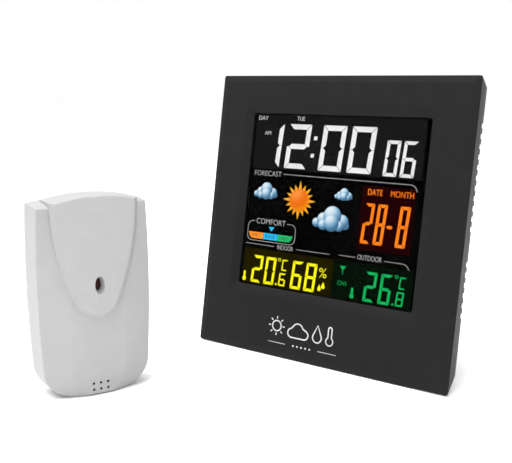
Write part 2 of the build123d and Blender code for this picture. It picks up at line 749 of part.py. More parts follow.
with BuildPart() as sensor_front:
    with BuildSketch(inside(SENSOR_PARTING)):
        sensor_outline(1.0, -0.9, SENSOR_DIP)
    with BuildSketch(inside(0)):
        sensor_outline(1.0, 0.0, SENSOR_DIP)
    with BuildSketch(inside(-SENSOR_PANEL)):
        sensor_outline(0.52, 1.0, 1.0)
    loft(ruled=True)
    # The base is cut flat to stand on.
    split(bisect_by=Plane.XY, keep=Keep.TOP)
    # The raised tongue: straight back over the top, with sloping flanks and a sloping roof in front.
    with BuildSketch(inside(SENSOR_PARTING)):
        visor_outline(0)
    extrude(amount=SENSOR_PARTING + 3)
    with BuildSketch(inside(-3)):
        visor_outline(0)
    with BuildSketch(inside(-9)):
        visor_outline(5.4)
    loft(ruled=True)
    roof = Plane(
        SENSOR.origin + SENSOR.y_dir * 40 + SENSOR.z_dir * (SENSOR_PANEL + VISOR_LIFT),
        x_dir=SENSOR.x_dir,
        z_dir=SENSOR.z_dir + SENSOR.y_dir * 0.04,
    )
    split(bisect_by=roof, keep=Keep.BOTTOM)
    with BuildSketch(inside(SENSOR_PARTING)):
        sensor_outline(1.0, SENSOR_WALL - 0.9, SENSOR_WALL)
    with BuildSketch(inside(1.2)):
        sensor_outline(0.97, SENSOR_WALL + 0.6, SENSOR_WALL + 0.4)
    with BuildSketch(inside(-1.8)):
        sensor_outline(0.50, SENSOR_WALL + 0.6, SENSOR_WALL + 1.2)
    loft(ruled=True, mode=Mode.SUBTRACT)
    # Eye of the signal lamp: a recess that narrows to a hole.
    with BuildSketch(inside(-7.8)):
        with Locations((0, EYE_HEIGHT)):
            Ellipse(2.5, 4.6)
    with BuildSketch(inside(-3.8)):
        with Locations((0, EYE_HEIGHT)):
            Ellipse(1.6, 3.2)
    loft(ruled=True, mode=Mode.SUBTRACT)
    with BuildSketch(inside(-3.8)):
        with Locations((0, EYE_HEIGHT)):
            Ellipse(1.6, 3.2)
    extrude(amount=-3.8, mode=Mode.SUBTRACT)
    # Six air holes low in the front.
    with BuildSketch(inside(2)):
        with Locations((0, 4.9)):
            with GridLocations(3.85, 3.3, 3, 2):
                Circle(0.7)
    extrude(amount=8, mode=Mode.SUBTRACT)
    with BuildSketch(inside(-0.6)):
        with Locations(*SENSOR_BOSSES):
            Circle(2.6)
    extrude(amount=-(SENSOR_MEET + 0.6))
    with BuildSketch(inside(2)):
        with Locations(*SENSOR_BOSSES):
            Circle(SCREW_RADIUS)
    extrude(amount=-SENSOR_BACK, mode=Mode.SUBTRACT)
finish(sensor_front, "sensor_front")

with BuildPart() as sensor_rear:
    with BuildSketch(inside(SENSOR_PARTING + SEAM)):
        sensor_outline(1.0, -0.9, SENSOR_DIP)
    with BuildSketch(inside(SENSOR_BACK - 1.6)):
        sensor_outline(1.0, -0.6, SENSOR_DIP)
    with BuildSketch(inside(SENSOR_BACK)):
        sensor_outline(1.0, 1.0, 1.0)
    loft(ruled=True)
    split(bisect_by=Plane.XY, keep=Keep.TOP)
    with BuildSketch(inside(SENSOR_PARTING + SEAM)):
        sensor_outline(1.0, SENSOR_WALL - 0.9, SENSOR_WALL)
    with BuildSketch(inside(SENSOR_BACK - SENSOR_WALL)):
        sensor_outline(1.0, SENSOR_WALL, SENSOR_WALL)
    loft(ruled=True, mode=Mode.SUBTRACT)
    with BuildSketch(inside(CELLS_FLOOR - CELL_WALL)):
        block(
            -CELLS_HALF - CELL_WALL,
            CELLS_HALF + CELL_WALL,
            CELLS_LOW - CELL_WALL,
            CELLS_HIGH + CELL_WALL,
        )
    extrude(amount=-(SENSOR_BACK - 1.0 - CELLS_FLOOR + CELL_WALL))
    with BuildSketch(inside(SENSOR_MEET)):
        with Locations(*SENSOR_BOSSES):
            Circle(3.2)
    extrude(amount=-(SENSOR_BACK - 1.0 - SENSOR_MEET))
    with BuildSketch(inside(12.9)):
        with Locations((0.5, SELECTOR_Y)):
            Circle(1.8)
    extrude(amount=-(SENSOR_BACK - 1.0 - 12.9))
    # Everything that opens through the back.
    with BuildSketch(inside(CELLS_FLOOR)):
        block(-CELLS_HALF, CELLS_HALF, CELLS_LOW, CELLS_HIGH)
    extrude(amount=-SENSOR_BACK, mode=Mode.SUBTRACT)
    with BuildSketch(inside(SENSOR_BACK - DOOR_THICK)):
        block(-LID_HALF, LID_HALF, LID_LOW, LID_HIGH)
    extrude(amount=-SENSOR_BACK, mode=Mode.SUBTRACT)
    with BuildSketch(inside(SENSOR_BACK - 4)):
        with Locations((0, SENSOR_HOOK_CENTRE)):
            Rectangle(*SENSOR_HOOK_PLATE)
        with Locations((SELECTOR_X, SELECTOR_Y)):
            Rectangle(10.4, 3.8)
        with Locations((RESET_X, SELECTOR_Y)):
            Circle(1.8)
    extrude(amount=-SENSOR_BACK, mode=Mode.SUBTRACT)
    with BuildSketch(inside(SENSOR_MEET - 1)):
        with Locations(*SENSOR_BOSSES):
            Circle(SCREW_RADIUS + 0.1)
    extrude(amount=-SENSOR_BACK, mode=Mode.SUBTRACT)
    with BuildSketch(inside(SENSOR_BACK - 2.2)):
        with Locations(*SENSOR_BOSSES):
            Circle(SCREW_HEAD_RADIUS + 0.3)
    extrude(amount=-SENSOR_BACK, mode=Mode.SUBTRACT)
finish(sensor_rear, "sensor_rear")

with BuildPart() as sensor_lid:
    with BuildSketch(inside(SENSOR_BACK - DOOR_THICK)):
        block(-LID_HALF + FIT_GAP, LID_HALF - FIT_GAP, LID_LOW + FIT_GAP, LID_HIGH - FIT_GAP)
    extrude(amount=-DOOR_THICK)
    with BuildSketch(inside(SENSOR_BACK - 0.5)):
        for step in range(4):
            middle = LID_HIGH - 4 - 2 * step
            block(-6, 6, middle - 0.5, middle + 0.5)
    extrude(amount=-1, mode=Mode.SUBTRACT)
finish(sensor_lid, "sensor_lid")

with BuildPart() as sensor_hanger:
    with BuildSketch(inside(SENSOR_BACK - SENSOR_WALL)):
        with Locations((0, SENSOR_HOOK_CENTRE)):
            Rectangle(*SENSOR_HOOK_PLATE)
    extrude(amount=-SENSOR_WALL)
    with BuildSketch(inside(SENSOR_BACK - 4)):
        keyhole(SENSOR_HOOK_Y, SENSOR_HOOK_RADIUS, SENSOR_HOOK_SLOT, SENSOR_HOOK_RISE)
    extrude(amount=-6, mode=Mode.SUBTRACT)
finish(sensor_hanger, "sensor_hanger")

with BuildPart() as sensor_screws:
    with BuildSketch(inside(SENSOR_BACK - 2.2)):
        with Locations(*SENSOR_BOSSES):
            Circle(SCREW_HEAD_RADIUS)
    extrude(amount=-SCREW_HEAD)
    with BuildSketch(inside(SENSOR_BACK - 2.2)):
        with Locations(*SENSOR_BOSSES):
            Circle(SCREW_RADIUS)
    extrude(amount=9)
    with BuildSketch(inside(SENSOR_BACK - 2.2 + SCREW_HEAD - 0.7)):
        with Locations(*SENSOR_BOSSES):
            Rectangle(2.4, 0.6)
            Rectangle(0.6, 2.4)
    extrude(amount=-1, mode=Mode.SUBTRACT)
finish(sensor_screws, "sensor_screws")

# ---- Outdoor sensor: what is inside --------------------------------------------------------------


def in_sensor(name, depth, thick, left, right, low, high):
    """A plain part inside the sensor."""
    with BuildPart() as item:
        with BuildSketch(inside(depth)):
            block(left, right, low, high)
        extrude(amount=-thick)
    finish(item, name)


with BuildPart() as eye_lens:
    with BuildSketch(inside(-3.4)):
        with Locations((0, EYE_HEIGHT)):
            Ellipse(1.6, 3.2)
    extrude(amount=-3.0)
finish(eye_lens, "eye_lens")

with BuildPart() as signal_lamp:
    with BuildSketch(inside(2.6)):
        with Locations((0, EYE_HEIGHT)):
            Circle(1.5)
    extrude(amount=3.0)
finish(signal_lamp, "signal_lamp")

in_sensor("sensor_board", 2.6, 1.2, -17, 17, 18, 84)
in_sensor("sensor_radio", 3.8, 2.0, -9, 5, 74.5, 84)
in_sensor("sensor_chip", 1.4, 1.2, -5, 5, 34, 42)
in_sensor("switch_board", 11.7, 1.2, -14.5, 13, 7.6, 17)
in_sensor(
    "selector_switch",
    12.9,
    4.5,
    SELECTOR_X - 5.5,
    SELECTOR_X + 5.5,
    SELECTOR_Y - 2.6,
    SELECTOR_Y + 2.6,
)
in_sensor("reset_switch", 12.9, 2.7, RESET_X - 3, RESET_X + 3, SELECTOR_Y - 3, SELECTOR_Y + 3)

with BuildPart() as sensor_antenna:
    with BuildSketch(Plane(SENSOR.origin, x_dir=SENSOR.x_dir, z_dir=(0, 0, 1)).offset(46)):
        with Locations((15.2, 4.9)):
            Circle(1.0)
            Circle(0.5, mode=Mode.SUBTRACT)
    extrude(amount=34)
finish(sensor_antenna, "sensor_antenna")

with BuildPart() as thermistor:
    with BuildSketch(inside(2.2)):
        block(-1.2, -0.6, 8.0, 19.5)
        block(0.6, 1.2, 8.0, 19.5)
        with Locations((0, 7.4)):
            Circle(1.5)
    extrude(amount=-0.4)
    with BuildSketch(inside(1.4)):
        with Locations((0, 7.4)):
            Circle(1.5)
    extrude(amount=-2)
finish(thermistor, "thermistor")

knob_x = SELECTOR_X - 3

with BuildPart() as channel_knob:
    with BuildSketch(inside(17.4)):
        with Locations((knob_x, SELECTOR_Y)):
            Rectangle(3.2, 3.2)
    extrude(amount=-3.0)
    with BuildSketch(inside(17.4)):
        with Locations((knob_x, SELECTOR_Y)):
            Rectangle(4.4, 4.8)
    extrude(amount=-0.6)
finish(channel_knob, "channel_knob")

with BuildPart() as reset_key:
    with BuildSketch(inside(SENSOR_BACK)):
        with Locations((RESET_X, SELECTOR_Y)):
            Circle(1.6)
    extrude(amount=3.6)
    with BuildSketch(inside(SENSOR_BACK - SENSOR_WALL)):
        with Locations((RESET_X, SELECTOR_Y)):
            Circle(2.6)
    extrude(amount=0.8)
finish(reset_key, "reset_key")

sensor_spring = CELLS_HIGH - CELLS_LOW - CELL_BODY - CELL_CAP - 2 * PLATE
sensor_spring_bases = []
for index, side in enumerate((-1, 1)):
    end = CELLS_LOW + PLATE if side == -1 else CELLS_HIGH - PLATE
    middle = SENSOR.origin + SENSOR.x_dir * (side * 5.6) - SENSOR.z_dir * (CELLS_FLOOR + CELL_RADIUS)
    start = Vector(middle.X, middle.Y, end)
    sensor_spring_bases.append(Plane(start, x_dir=SENSOR.x_dir, z_dir=(0, 0, -side)))
    cell(f"sensor_cell_{index + 1}", sensor_spring_bases[-1].offset(sensor_spring))

with BuildPart() as sensor_springs:
    for base in sensor_spring_bases:
        with BuildSketch(base):
            Circle(SPRING_FOOT)
        with BuildSketch(base.offset(sensor_spring)):
            Circle(SPRING_TIP)
        loft()
finish(sensor_springs, "sensor_springs")

with BuildPart() as sensor_contacts:
    with BuildSketch(inside(CELLS_FLOOR)):
        for middle in (-5.6, 5.6):
            block(middle - 4, middle + 4, CELLS_LOW, CELLS_LOW + PLATE)
            block(middle - 4, middle + 4, CELLS_HIGH - PLATE, CELLS_HIGH)
    extrude(amount=-PLATE_DROP)
finish(sensor_contacts, "sensor_contacts")

# ---- Export --------------------------------------------------------------------------------------

os.makedirs("parts", exist_ok=True)
for piece in finished:
    export_step(piece, f"parts/{piece.label}.step")
    print(piece.label, len(piece.solids()), piece.is_valid, round(piece.volume), "mm3")
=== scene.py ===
import json
import math

import bpy
from mathutils import Matrix, Vector


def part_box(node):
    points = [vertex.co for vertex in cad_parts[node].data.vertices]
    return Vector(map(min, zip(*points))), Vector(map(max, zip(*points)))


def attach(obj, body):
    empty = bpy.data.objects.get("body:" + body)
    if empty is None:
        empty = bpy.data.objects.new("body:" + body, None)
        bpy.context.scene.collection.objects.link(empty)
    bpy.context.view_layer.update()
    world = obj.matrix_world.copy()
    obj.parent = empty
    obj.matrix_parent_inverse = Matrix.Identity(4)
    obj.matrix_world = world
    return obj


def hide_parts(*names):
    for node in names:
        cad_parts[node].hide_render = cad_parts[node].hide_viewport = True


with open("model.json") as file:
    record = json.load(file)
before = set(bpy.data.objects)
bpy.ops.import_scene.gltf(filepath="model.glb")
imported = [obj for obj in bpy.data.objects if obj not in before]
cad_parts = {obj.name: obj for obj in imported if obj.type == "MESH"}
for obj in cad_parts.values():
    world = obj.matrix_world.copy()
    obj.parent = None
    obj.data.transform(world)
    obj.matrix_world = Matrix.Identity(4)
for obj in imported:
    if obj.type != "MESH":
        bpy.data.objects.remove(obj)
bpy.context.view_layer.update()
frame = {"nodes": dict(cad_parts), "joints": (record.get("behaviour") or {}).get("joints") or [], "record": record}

# Lengths in this script are millimetres on the part's own plane until a piece is seated in the frame.
MM = 0.001

# ---- Where the two faces are ---------------------------------------------------------------------

WINDOW_MIDDLE = 91.0  # the display panel's middle, up the display's face from its lower edge
LCD_MIDDLE_DEPTH = 5.3  # and behind that face
BOARD_MIDDLE = 51.0  # the sensor board's middle, above the table
BOARD_MIDDLE_DEPTH = 3.2  # and behind the front edge of the sensor's outline

AXES = {joint["name"]: Vector(joint["axis"]) for joint in frame["joints"]}


def middle(node):
    """The middle of a node's box."""
    low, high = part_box(node)
    return (low + high) / 2


def seat_matrix(origin, right, up, out):
    """Takes x to the right, y up and z out of a face, in millimetres, to the frame."""
    turn = Matrix((right, up, out)).transposed().to_4x4()
    return Matrix.Translation(origin) @ turn @ Matrix.Scale(MM, 4)


FACE_UP = -AXES["snooze_press"]
FACE_OUT = AXES["mode_press"]
FACE = seat_matrix(
    middle("lcd_panel") - FACE_UP * WINDOW_MIDDLE * MM + FACE_OUT * LCD_MIDDLE_DEPTH * MM,
    Vector((1, 0, 0)),
    FACE_UP,
    FACE_OUT,
)
SENSOR_OUT = AXES["reset_press"]
SENSOR = seat_matrix(
    middle("sensor_board") - Vector((0, 0, BOARD_MIDDLE * MM)) + SENSOR_OUT * BOARD_MIDDLE_DEPTH * MM,
    AXES["channel_select"],
    Vector((0, 0, 1)),
    SENSOR_OUT,
)

# ---- Working by hand: selecting, editing, joining ------------------------------------------------


def put_down():
    """Leaves edit mode with nothing selected."""
    if bpy.context.mode != "OBJECT":
        bpy.ops.object.mode_set(mode="OBJECT")
    bpy.ops.object.select_all(action="DESELECT")


def take(*pieces):
    """Selects these pieces only, and makes the first one active."""
    put_down()
    for piece in pieces:
        piece.select_set(True)
    bpy.context.view_layer.objects.active = pieces[0]


def edit(piece, vertices=None, faces=None):
    """Opens a piece in edit mode with the chosen vertices or faces selected, or with all of it."""
    take(piece)
    bpy.context.tool_settings.mesh_select_mode = (faces is None, False, faces is not None)
    mesh = piece.data
    everything = vertices is None and faces is None
    for vertex in mesh.vertices:
        vertex.select = everything or (vertices is not None and vertices(vertex))
    for edge in mesh.edges:
        edge.select = everything
    for face in mesh.polygons:
        face.select = everything or (faces is not None and faces(face))
    bpy.ops.object.mode_set(mode="EDIT")


def close():
    """Back to object mode, with the piece just edited."""
    bpy.ops.object.mode_set(mode="OBJECT")
    return bpy.context.object


def join(name, *pieces):
    """Several pieces as one."""
    take(*pieces)
    if len(pieces) > 1:
        bpy.ops.object.join()
    made = bpy.context.object
    made.name = made.data.name = name
    return made


def use(piece, kind, **settings):
    """Adds a modifier and applies it."""
    take(piece)
    modifier = piece.modifiers.new(kind.lower(), kind)
    for name, value in settings.items():
        setattr(modifier, name, value)
    bpy.ops.object.modifier_apply(modifier=modifier.name)
    return piece


def cut(piece, tool, how="DIFFERENCE"):
    """Cuts a tool out of a piece, or adds it, and puts the tool away."""
    use(piece, "BOOLEAN", object=tool, operation=how, solver="EXACT")
    bpy.data.objects.remove(tool)
    return piece


def outward(piece):
    """Merges doubles and turns every face outwards."""
    edit(piece)
    bpy.ops.mesh.remove_doubles(threshold=1e-5)
    bpy.ops.mesh.normals_make_consistent(inside=False)
    return close()


def smooth(piece, degrees=30):
    """Smooth shading up to an angle, in which broad faces stay flat and the narrow ones between them turn."""
    take(piece)
    bpy.ops.object.shade_smooth_by_angle(angle=math.radians(degrees))
    return use(piece, "WEIGHTED_NORMAL", keep_sharp=True, weight=90)


def seat(piece, place):
    """Puts a piece made in millimetres in its place in the frame."""
    bpy.context.view_layer.update()
    piece.data.transform(place @ piece.matrix_world)
    piece.matrix_world = Matrix.Identity(4)
    return piece


def dress(piece, finish, body=None, replaces=()):
    """Gives a piece its material, hangs it on the body it rides on, and hides the nodes it takes the place of."""
    if len(piece.material_slots) == 0:
        piece.data.materials.append(finish)
    for place in piece.material_slots:
        place.material = finish
    if body:
        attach(piece, body)
    for node in replaces:
        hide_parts(node)
    return piece


def rounded(width, height, centre, radius, z):
    """A rounded rectangle's points, at one height."""
    x, y = width / 2 - radius, height / 2 - radius
    points = []
    for right, up, start in ((1, 1, 0), (-1, 1, 90), (-1, -1, 180), (1, -1, 270)):
        for step in range(7):
            angle = math.radians(start + step * 15)
            points.append(
                (right * x + radius * math.cos(angle), centre + up * y + radius * math.sin(angle), z)
            )
    return points


def at(z, outline):
    """An outline's points, all at one height."""
    return [(x, y, z) for x, y in outline]


def skin(name, rings, closed=False):
    """A skin through rings of equal count: a grid whose rows are moved to the rings, and its seam merged.

    It runs round to its first ring if it is closed, and has its two ends filled if it isn't.
    """
    rows = [ring + ring[:1] for ring in rings + (rings[:1] if closed else [])]
    put_down()
    bpy.ops.mesh.primitive_grid_add(x_subdivisions=len(rows[0]) - 1, y_subdivisions=len(rows) - 1, size=1)
    sheet = bpy.context.object
    sheet.name = sheet.data.name = name
    for vertex, point in zip(sheet.data.vertices, [point for row in rows for point in row]):
        vertex.co = point
    edit(sheet)
    bpy.ops.mesh.remove_doubles(threshold=1e-4)
    if not closed:
        bpy.ops.mesh.fill_holes(sides=0)
    bpy.ops.mesh.select_all(action="SELECT")
    bpy.ops.mesh.normals_make_consistent(inside=False)
    return close()


def rod(radius, length, x, y, z, sides=24):
    """A cylinder that runs back from z."""
    put_down()
    bpy.ops.mesh.primitive_cylinder_add(
        vertices=sides, radius=radius, depth=length, location=(x, y, z - length / 2)
    )
    bpy.ops.object.transform_apply(location=True, rotation=True, scale=True)
    return bpy.context.object


# ---- Materials -----------------------------------------------------------------------------------


def linear(code):
    """A linear colour from sRGB hex."""
    parts = [int(code[place : place + 2], 16) / 255 for place in (1, 3, 5)]
    return [part / 12.92 if part <= 0.04045 else ((part + 0.055) / 1.055) ** 2.4 for part in parts] + [1.0]


def add_node(tree, kind, sockets=None, links=None, ramp=None, **settings):
    """Adds a node with its settings, socket values and links. A ramp is a list of places and colours."""
    made = tree.nodes.new(kind)
    for name, value in settings.items():
        setattr(made, name, value)
    for name, value in (sockets or {}).items():
        made.inputs[name].default_value = value
    for name, (source, output) in (links or {}).items():
        tree.links.new(source.outputs[output], made.inputs[name])
    if ramp:
        elements = made.color_ramp.elements
        while len(elements) < len(ramp):
            elements.new(0.5)
        for element, (place, code) in zip(elements, ramp):
            element.position = place
            element.color = linear(code)
    return made


def new_finish(name, sockets):
    """A material with its shader's plain values set, ready for its pattern."""
    made = bpy.data.materials.new(name)
    made.use_nodes = True
    tree = made.node_tree
    shader = tree.nodes["Principled BSDF"]
    for socket, value in sockets.items():
        shader.inputs[socket].default_value = value
    return made, tree, shader, add_node(tree, "ShaderNodeTexCoord")


def moulded(name, sockets, shades, rough, grain, depth, cloud=9.0):
    """A moulded or coated surface: clouding in its colour, and a fine grain in its gloss and height.

    shades are its darker and lighter colour, rough its range of roughness, grain the width of a grain,
    depth the grain's height and cloud the width of the cloudiness.
    """
    made, tree, shader, coords = new_finish(name, sockets)
    broad = add_node(
        tree, "ShaderNodeTexNoise", {"Scale": 1 / (cloud * MM), "Detail": 3.0}, {"Vector": (coords, "Object")}
    )
    tint = add_node(
        tree, "ShaderNodeValToRGB", links={"Fac": (broad, "Fac")}, ramp=[(0.3, shades[0]), (0.7, shades[1])]
    )
    fine = add_node(
        tree, "ShaderNodeTexNoise", {"Scale": 1 / (grain * MM), "Detail": 2.0}, {"Vector": (coords, "Object")}
    )
    gloss = add_node(
        tree,
        "ShaderNodeMapRange",
        {"From Min": 0.3, "From Max": 0.7, "To Min": rough[0], "To Max": rough[1]},
        {"Value": (fine, "Fac")},
    )
    height = add_node(
        tree, "ShaderNodeBump", {"Strength": 1.0, "Distance": depth * MM}, {"Height": (fine, "Fac")}
    )
    tree.links.new(tint.outputs["Color"], shader.inputs["Base Color"])
    tree.links.new(gloss.outputs["Result"], shader.inputs["Roughness"])
    tree.links.new(height.outputs["Normal"], shader.inputs["Normal"])
    return made


def lit_ink(name, dim, bright, strength=0.8):
    """A lit segment of the display: its colour glows through, a little uneven, as a backlight is."""
    body_colour = [part * 0.3 for part in linear(bright)[:3]] + [1.0]
    made, tree, shader, coords = new_finish(
        name, {"Base Color": body_colour, "Roughness": 0.6, "Specular IOR Level": 0.0}
    )
    uneven = add_node(
        tree, "ShaderNodeTexNoise", {"Scale": 1 / (14 * MM), "Detail": 2.0}, {"Vector": (coords, "Object")}
    )
    glow = add_node(
        tree, "ShaderNodeValToRGB", links={"Fac": (uneven, "Fac")}, ramp=[(0.35, dim), (0.65, bright)]
    )
    tree.links.new(glow.outputs["Color"], shader.inputs["Emission Color"])
    shader.inputs["Emission Strength"].default_value = strength
    return made


def shaded_ink(name, ramp):
    """A printed picture, lit from behind: its colour follows the shading kept on its points."""
    made, tree, shader, _ = new_finish(
        name, {"Base Color": linear("#050505"), "Roughness": 0.6, "Specular IOR Level": 0.0}
    )
    kept = add_node(tree, "ShaderNodeAttribute", attribute_name="shading", attribute_type="GEOMETRY")
    glow = add_node(tree, "ShaderNodeValToRGB", links={"Fac": (kept, "Fac")}, ramp=ramp)
    tree.links.new(glow.outputs["Color"], shader.inputs["Emission Color"])
    shader.inputs["Emission Strength"].default_value = 1.0
    return made


# Black ABS from a spark-eroded mould: matt, with a soft broad sheen. Its grain is drawn large, so it shows.
matt_black_abs = moulded(
    "matt_black_abs", {"IOR": 1.5, "Specular IOR Level": 0.17}, ("#0f0e0f", "#121112"), (0.5, 0.62), 0.9, 0.02
)
# The same ABS on the rear cover, from a coarser mould: a lighter, drier black.
coarse_black_abs = moulded(
    "coarse_black_abs",
    {"IOR": 1.5, "Specular IOR Level": 0.3},
    ("#1c1b1c", "#212021"),
    (0.55, 0.7),
    1.2,
    0.05,
)
# White ABS, moulded with a satin face: bright, faintly warm in its clouding, with soft highlights.
satin_white_abs = moulded(
    "satin_white_abs",
    {"IOR": 1.5, "Specular IOR Level": 0.4},
    ("#9a9a9a", "#9d9d9d"),
    (0.4, 0.48),
    1.1,
    0.006,
)
# Moulded rubber: dull and black, with a dusty grain.
dusty_rubber = moulded(
    "dusty_rubber", {"IOR": 1.5, "Specular IOR Level": 0.3}, ("#151515", "#1e1d1c"), (0.75, 0.9), 0.7, 0.04
)
# Silicone keys: softer and darker than the housing, with a slight bloom.
silicone_black = moulded(
    "silicone_black",
    {"IOR": 1.42, "Sheen Weight": 0.15, "Sheen Roughness": 0.5},
    ("#131313", "#191919"),
    (0.55, 0.7),
    0.8,
    0.02,
)
# The window: clear acrylic with a hard coat that takes most of its reflections away.
coated_acrylic = moulded(
    "coated_acrylic",
    {"IOR": 1.06, "Specular IOR Level": 0.05, "Transmission Weight": 1.0},
    ("#fbfcfc", "#ffffff"),
    (0.0, 0.02),
    2.5,
    0.0004,
    cloud=30.0,
)
# The light guide: clear acrylic that reads milky from its printed dots.
milky_acrylic = moulded(
    "milky_acrylic", {"IOR": 1.49, "Transmission Weight": 0.6}, ("#dfe6e8", "#f2f6f7"), (0.2, 0.35), 1.0, 0.01
)
# The eye over the signal lamp: smoked dark red plastic, polished.
smoked_red = moulded(
    "smoked_red", {"IOR": 1.49, "Specular IOR Level": 0.08}, ("#2a0707", "#360b0a"), (0.15, 0.25), 1.0, 0.002
)
# Foam tape: black and dead matt.
foam_tape = moulded(
    "foam_tape", {"IOR": 1.5, "Specular IOR Level": 0.1}, ("#0b0b0b", "#121212"), (0.85, 0.95), 0.5, 0.04
)
# The display's own glass with its black print behind: deep black, barely glossy behind the window.
printed_glass = moulded(
    "printed_glass", {"IOR": 1.5, "Specular IOR Level": 0.0}, ("#020202", "#040404"), (0.4, 0.5), 1.5, 0.001
)
# White reflector film: bright, with a faint pearly bloom.
pearl_film = moulded(
    "pearl_film", {"IOR": 1.5, "Sheen Weight": 0.1}, ("#eceeee", "#f7f8f8"), (0.3, 0.42), 0.8, 0.004
)
# Black epoxy of chips and switches: a fine even grain from its mould.
chip_epoxy = moulded("chip_epoxy", {"IOR": 1.55}, ("#161616", "#202020"), (0.45, 0.6), 0.35, 0.012)
# Drawn copper wire with its clear enamel: warm metal with fine draw marks.
enamelled_copper = moulded(
    "enamelled_copper",
    {"Metallic": 1.0, "Coat Weight": 0.5, "Coat Roughness": 0.15},
    ("#b8633a", "#cf7a4c"),
    (0.25, 0.4),
    0.3,
    0.01,
)
# Nickel-plated spring steel: bright grey metal with a slightly uneven plate.
plated_steel = moulded("plated_steel", {"Metallic": 1.0}, ("#b9b8b4", "#d0cfcb"), (0.22, 0.38), 0.4, 0.008)
# The signal lamp's epoxy: clear red, moulded and glossy.
lamp_epoxy = moulded(
    "lamp_epoxy",
    {"IOR": 1.54, "Transmission Weight": 0.4},
    ("#7c120c", "#a31c12"),
    (0.06, 0.12),
    1.0,
    0.002,
)
# Silver ink printed on the face: flat metal flake, a little dry.
silver_ink = moulded("silver_ink", {"Metallic": 0.35}, ("#b4b4b4", "#cfcfcf"), (0.4, 0.55), 0.5, 0.006)


def circuit_green():
    """A circuit board: green solder mask over copper tracks that stand a little proud."""
    made, tree, shader, coords = new_finish(
        "solder_mask", {"IOR": 1.52, "Coat Weight": 0.2, "Coat Roughness": 0.2}
    )
    tracks = add_node(
        tree,
        "ShaderNodeTexBrick",
        {"Scale": 1 / (9 * MM), "Mortar Size": 0.03, "Mortar Smooth": 0.1, "Color1": linear("#0d3b22"),
         "Color2": linear("#10452a"), "Mortar": linear("#2b7048")},
        {"Vector": (coords, "Object")},
    )
    height = add_node(
        tree, "ShaderNodeBump", {"Strength": 1.0, "Distance": 0.05 * MM}, {"Height": (tracks, "Fac")}
    )
    speckle = add_node(
        tree, "ShaderNodeTexNoise", {"Scale": 1 / (0.8 * MM)}, {"Vector": (coords, "Object")}
    )
    gloss = add_node(
        tree, "ShaderNodeMapRange", {"To Min": 0.25, "To Max": 0.45}, {"Value": (speckle, "Fac")}
    )
    tree.links.new(tracks.outputs["Color"], shader.inputs["Base Color"])
    tree.links.new(gloss.outputs["Result"], shader.inputs["Roughness"])
    tree.links.new(height.outputs["Normal"], shader.inputs["Normal"])
    return made


def foil_jacket():
    """A cell's jacket: printed foil, green with a copper-coloured band, between bare metal ends."""
    made, tree, shader, coords = new_finish(
        "foil_jacket", {"Metallic": 0.55, "Coat Weight": 0.5, "Coat Roughness": 0.12}
    )
    along = add_node(tree, "ShaderNodeAttribute", attribute_name="along", attribute_type="GEOMETRY")
    print_colour = add_node(
        tree,
        "ShaderNodeValToRGB",
        links={"Fac": (along, "Fac")},
        ramp=[
            (0.0, "#b5b5b2"), (0.012, "#1d4a3a"), (0.69, "#1b4436"), (0.7, "#c98a52"), (0.97, "#d39a63"),
            (0.98, "#c4c4c0"),
        ],
    )
    creases = add_node(
        tree, "ShaderNodeTexNoise", {"Scale": 1 / (2 * MM), "Detail": 3.0}, {"Vector": (coords, "Object")}
    )
    gloss = add_node(tree, "ShaderNodeMapRange", {"To Min": 0.22, "To Max": 0.4}, {"Value": (creases, "Fac")})
    height = add_node(
        tree, "ShaderNodeBump", {"Strength": 1.0, "Distance": 0.01 * MM}, {"Height": (creases, "Fac")}
    )
    tree.links.new(print_colour.outputs["Color"], shader.inputs["Base Color"])
    tree.links.new(gloss.outputs["Result"], shader.inputs["Roughness"])
    tree.links.new(height.outputs["Normal"], shader.inputs["Normal"])
    return made


solder_mask = circuit_green()
jacket = foil_jacket()

NODE_FINISHES = {
    "black_abs": coarse_black_abs,
    "white_abs": satin_white_abs,
    "black_rubber": dusty_rubber,
    "clear_lens": coated_acrylic,
    "eye_plastic": smoked_red,
    "black_tape": foam_tape,
    "lcd_glass": printed_glass,
    "acrylic": milky_acrylic,
    "white_film": pearl_film,
    "circuit_board": solder_mask,
    "chip_black": chip_epoxy,
    "copper_wire": enamelled_copper,
    "lamp_red": lamp_epoxy,
    "steel": plated_steel,
    "cell_jacket": jacket,
}
NODE_SLOTS = {part["node"]: part["material_slot"] for part in frame["record"]["subparts"]}
NODE_BODIES = {
    node: body for body, nodes in frame["record"]["behaviour"]["bodies"].items() for node in nodes
}
for name, node in frame["nodes"].items():
    dress(node, NODE_FINISHES[NODE_SLOTS[name]])

# ---- The front frame: edges that roll over, and a soft dish down to the window -------------------

SIDE_DRAFT, TOP_DRAFT, LOW_DRAFT = 0.16, 0.28, 0.60
WINDOW = (115.0, 103.2, WINDOW_MIDDLE)  # its width, height and middle


def housing_ring(depth, inset, radius=1.2):
    """The housing's tapered outline at a depth, drawn in by an inset."""
    half = 82.5 - SIDE_DRAFT * depth - inset
    low = LOW_DRAFT * depth + inset
    high = 165 - TOP_DRAFT * depth - inset
    return rounded(2 * half, high - low, (low + high) / 2, radius, -depth)


def window_ring(margin, radius, z):
    """The window's outline, grown by a margin."""
    return rounded(WINDOW[0] + 2 * margin, WINDOW[1] + 2 * margin, WINDOW[2], radius, z)


# Depth and inset, from the rear edge up the side, over the rounded edge and the bevel, to the face.
RIM = [
    (7.5, 0.12), (7.3, 0.0), (1.1, 0.0), (0.8, 0.06), (0.6, 0.28), (0.5, 0.7), (0.06, 3.7),
    (0.012, 4.1), (0, 4.6),
]
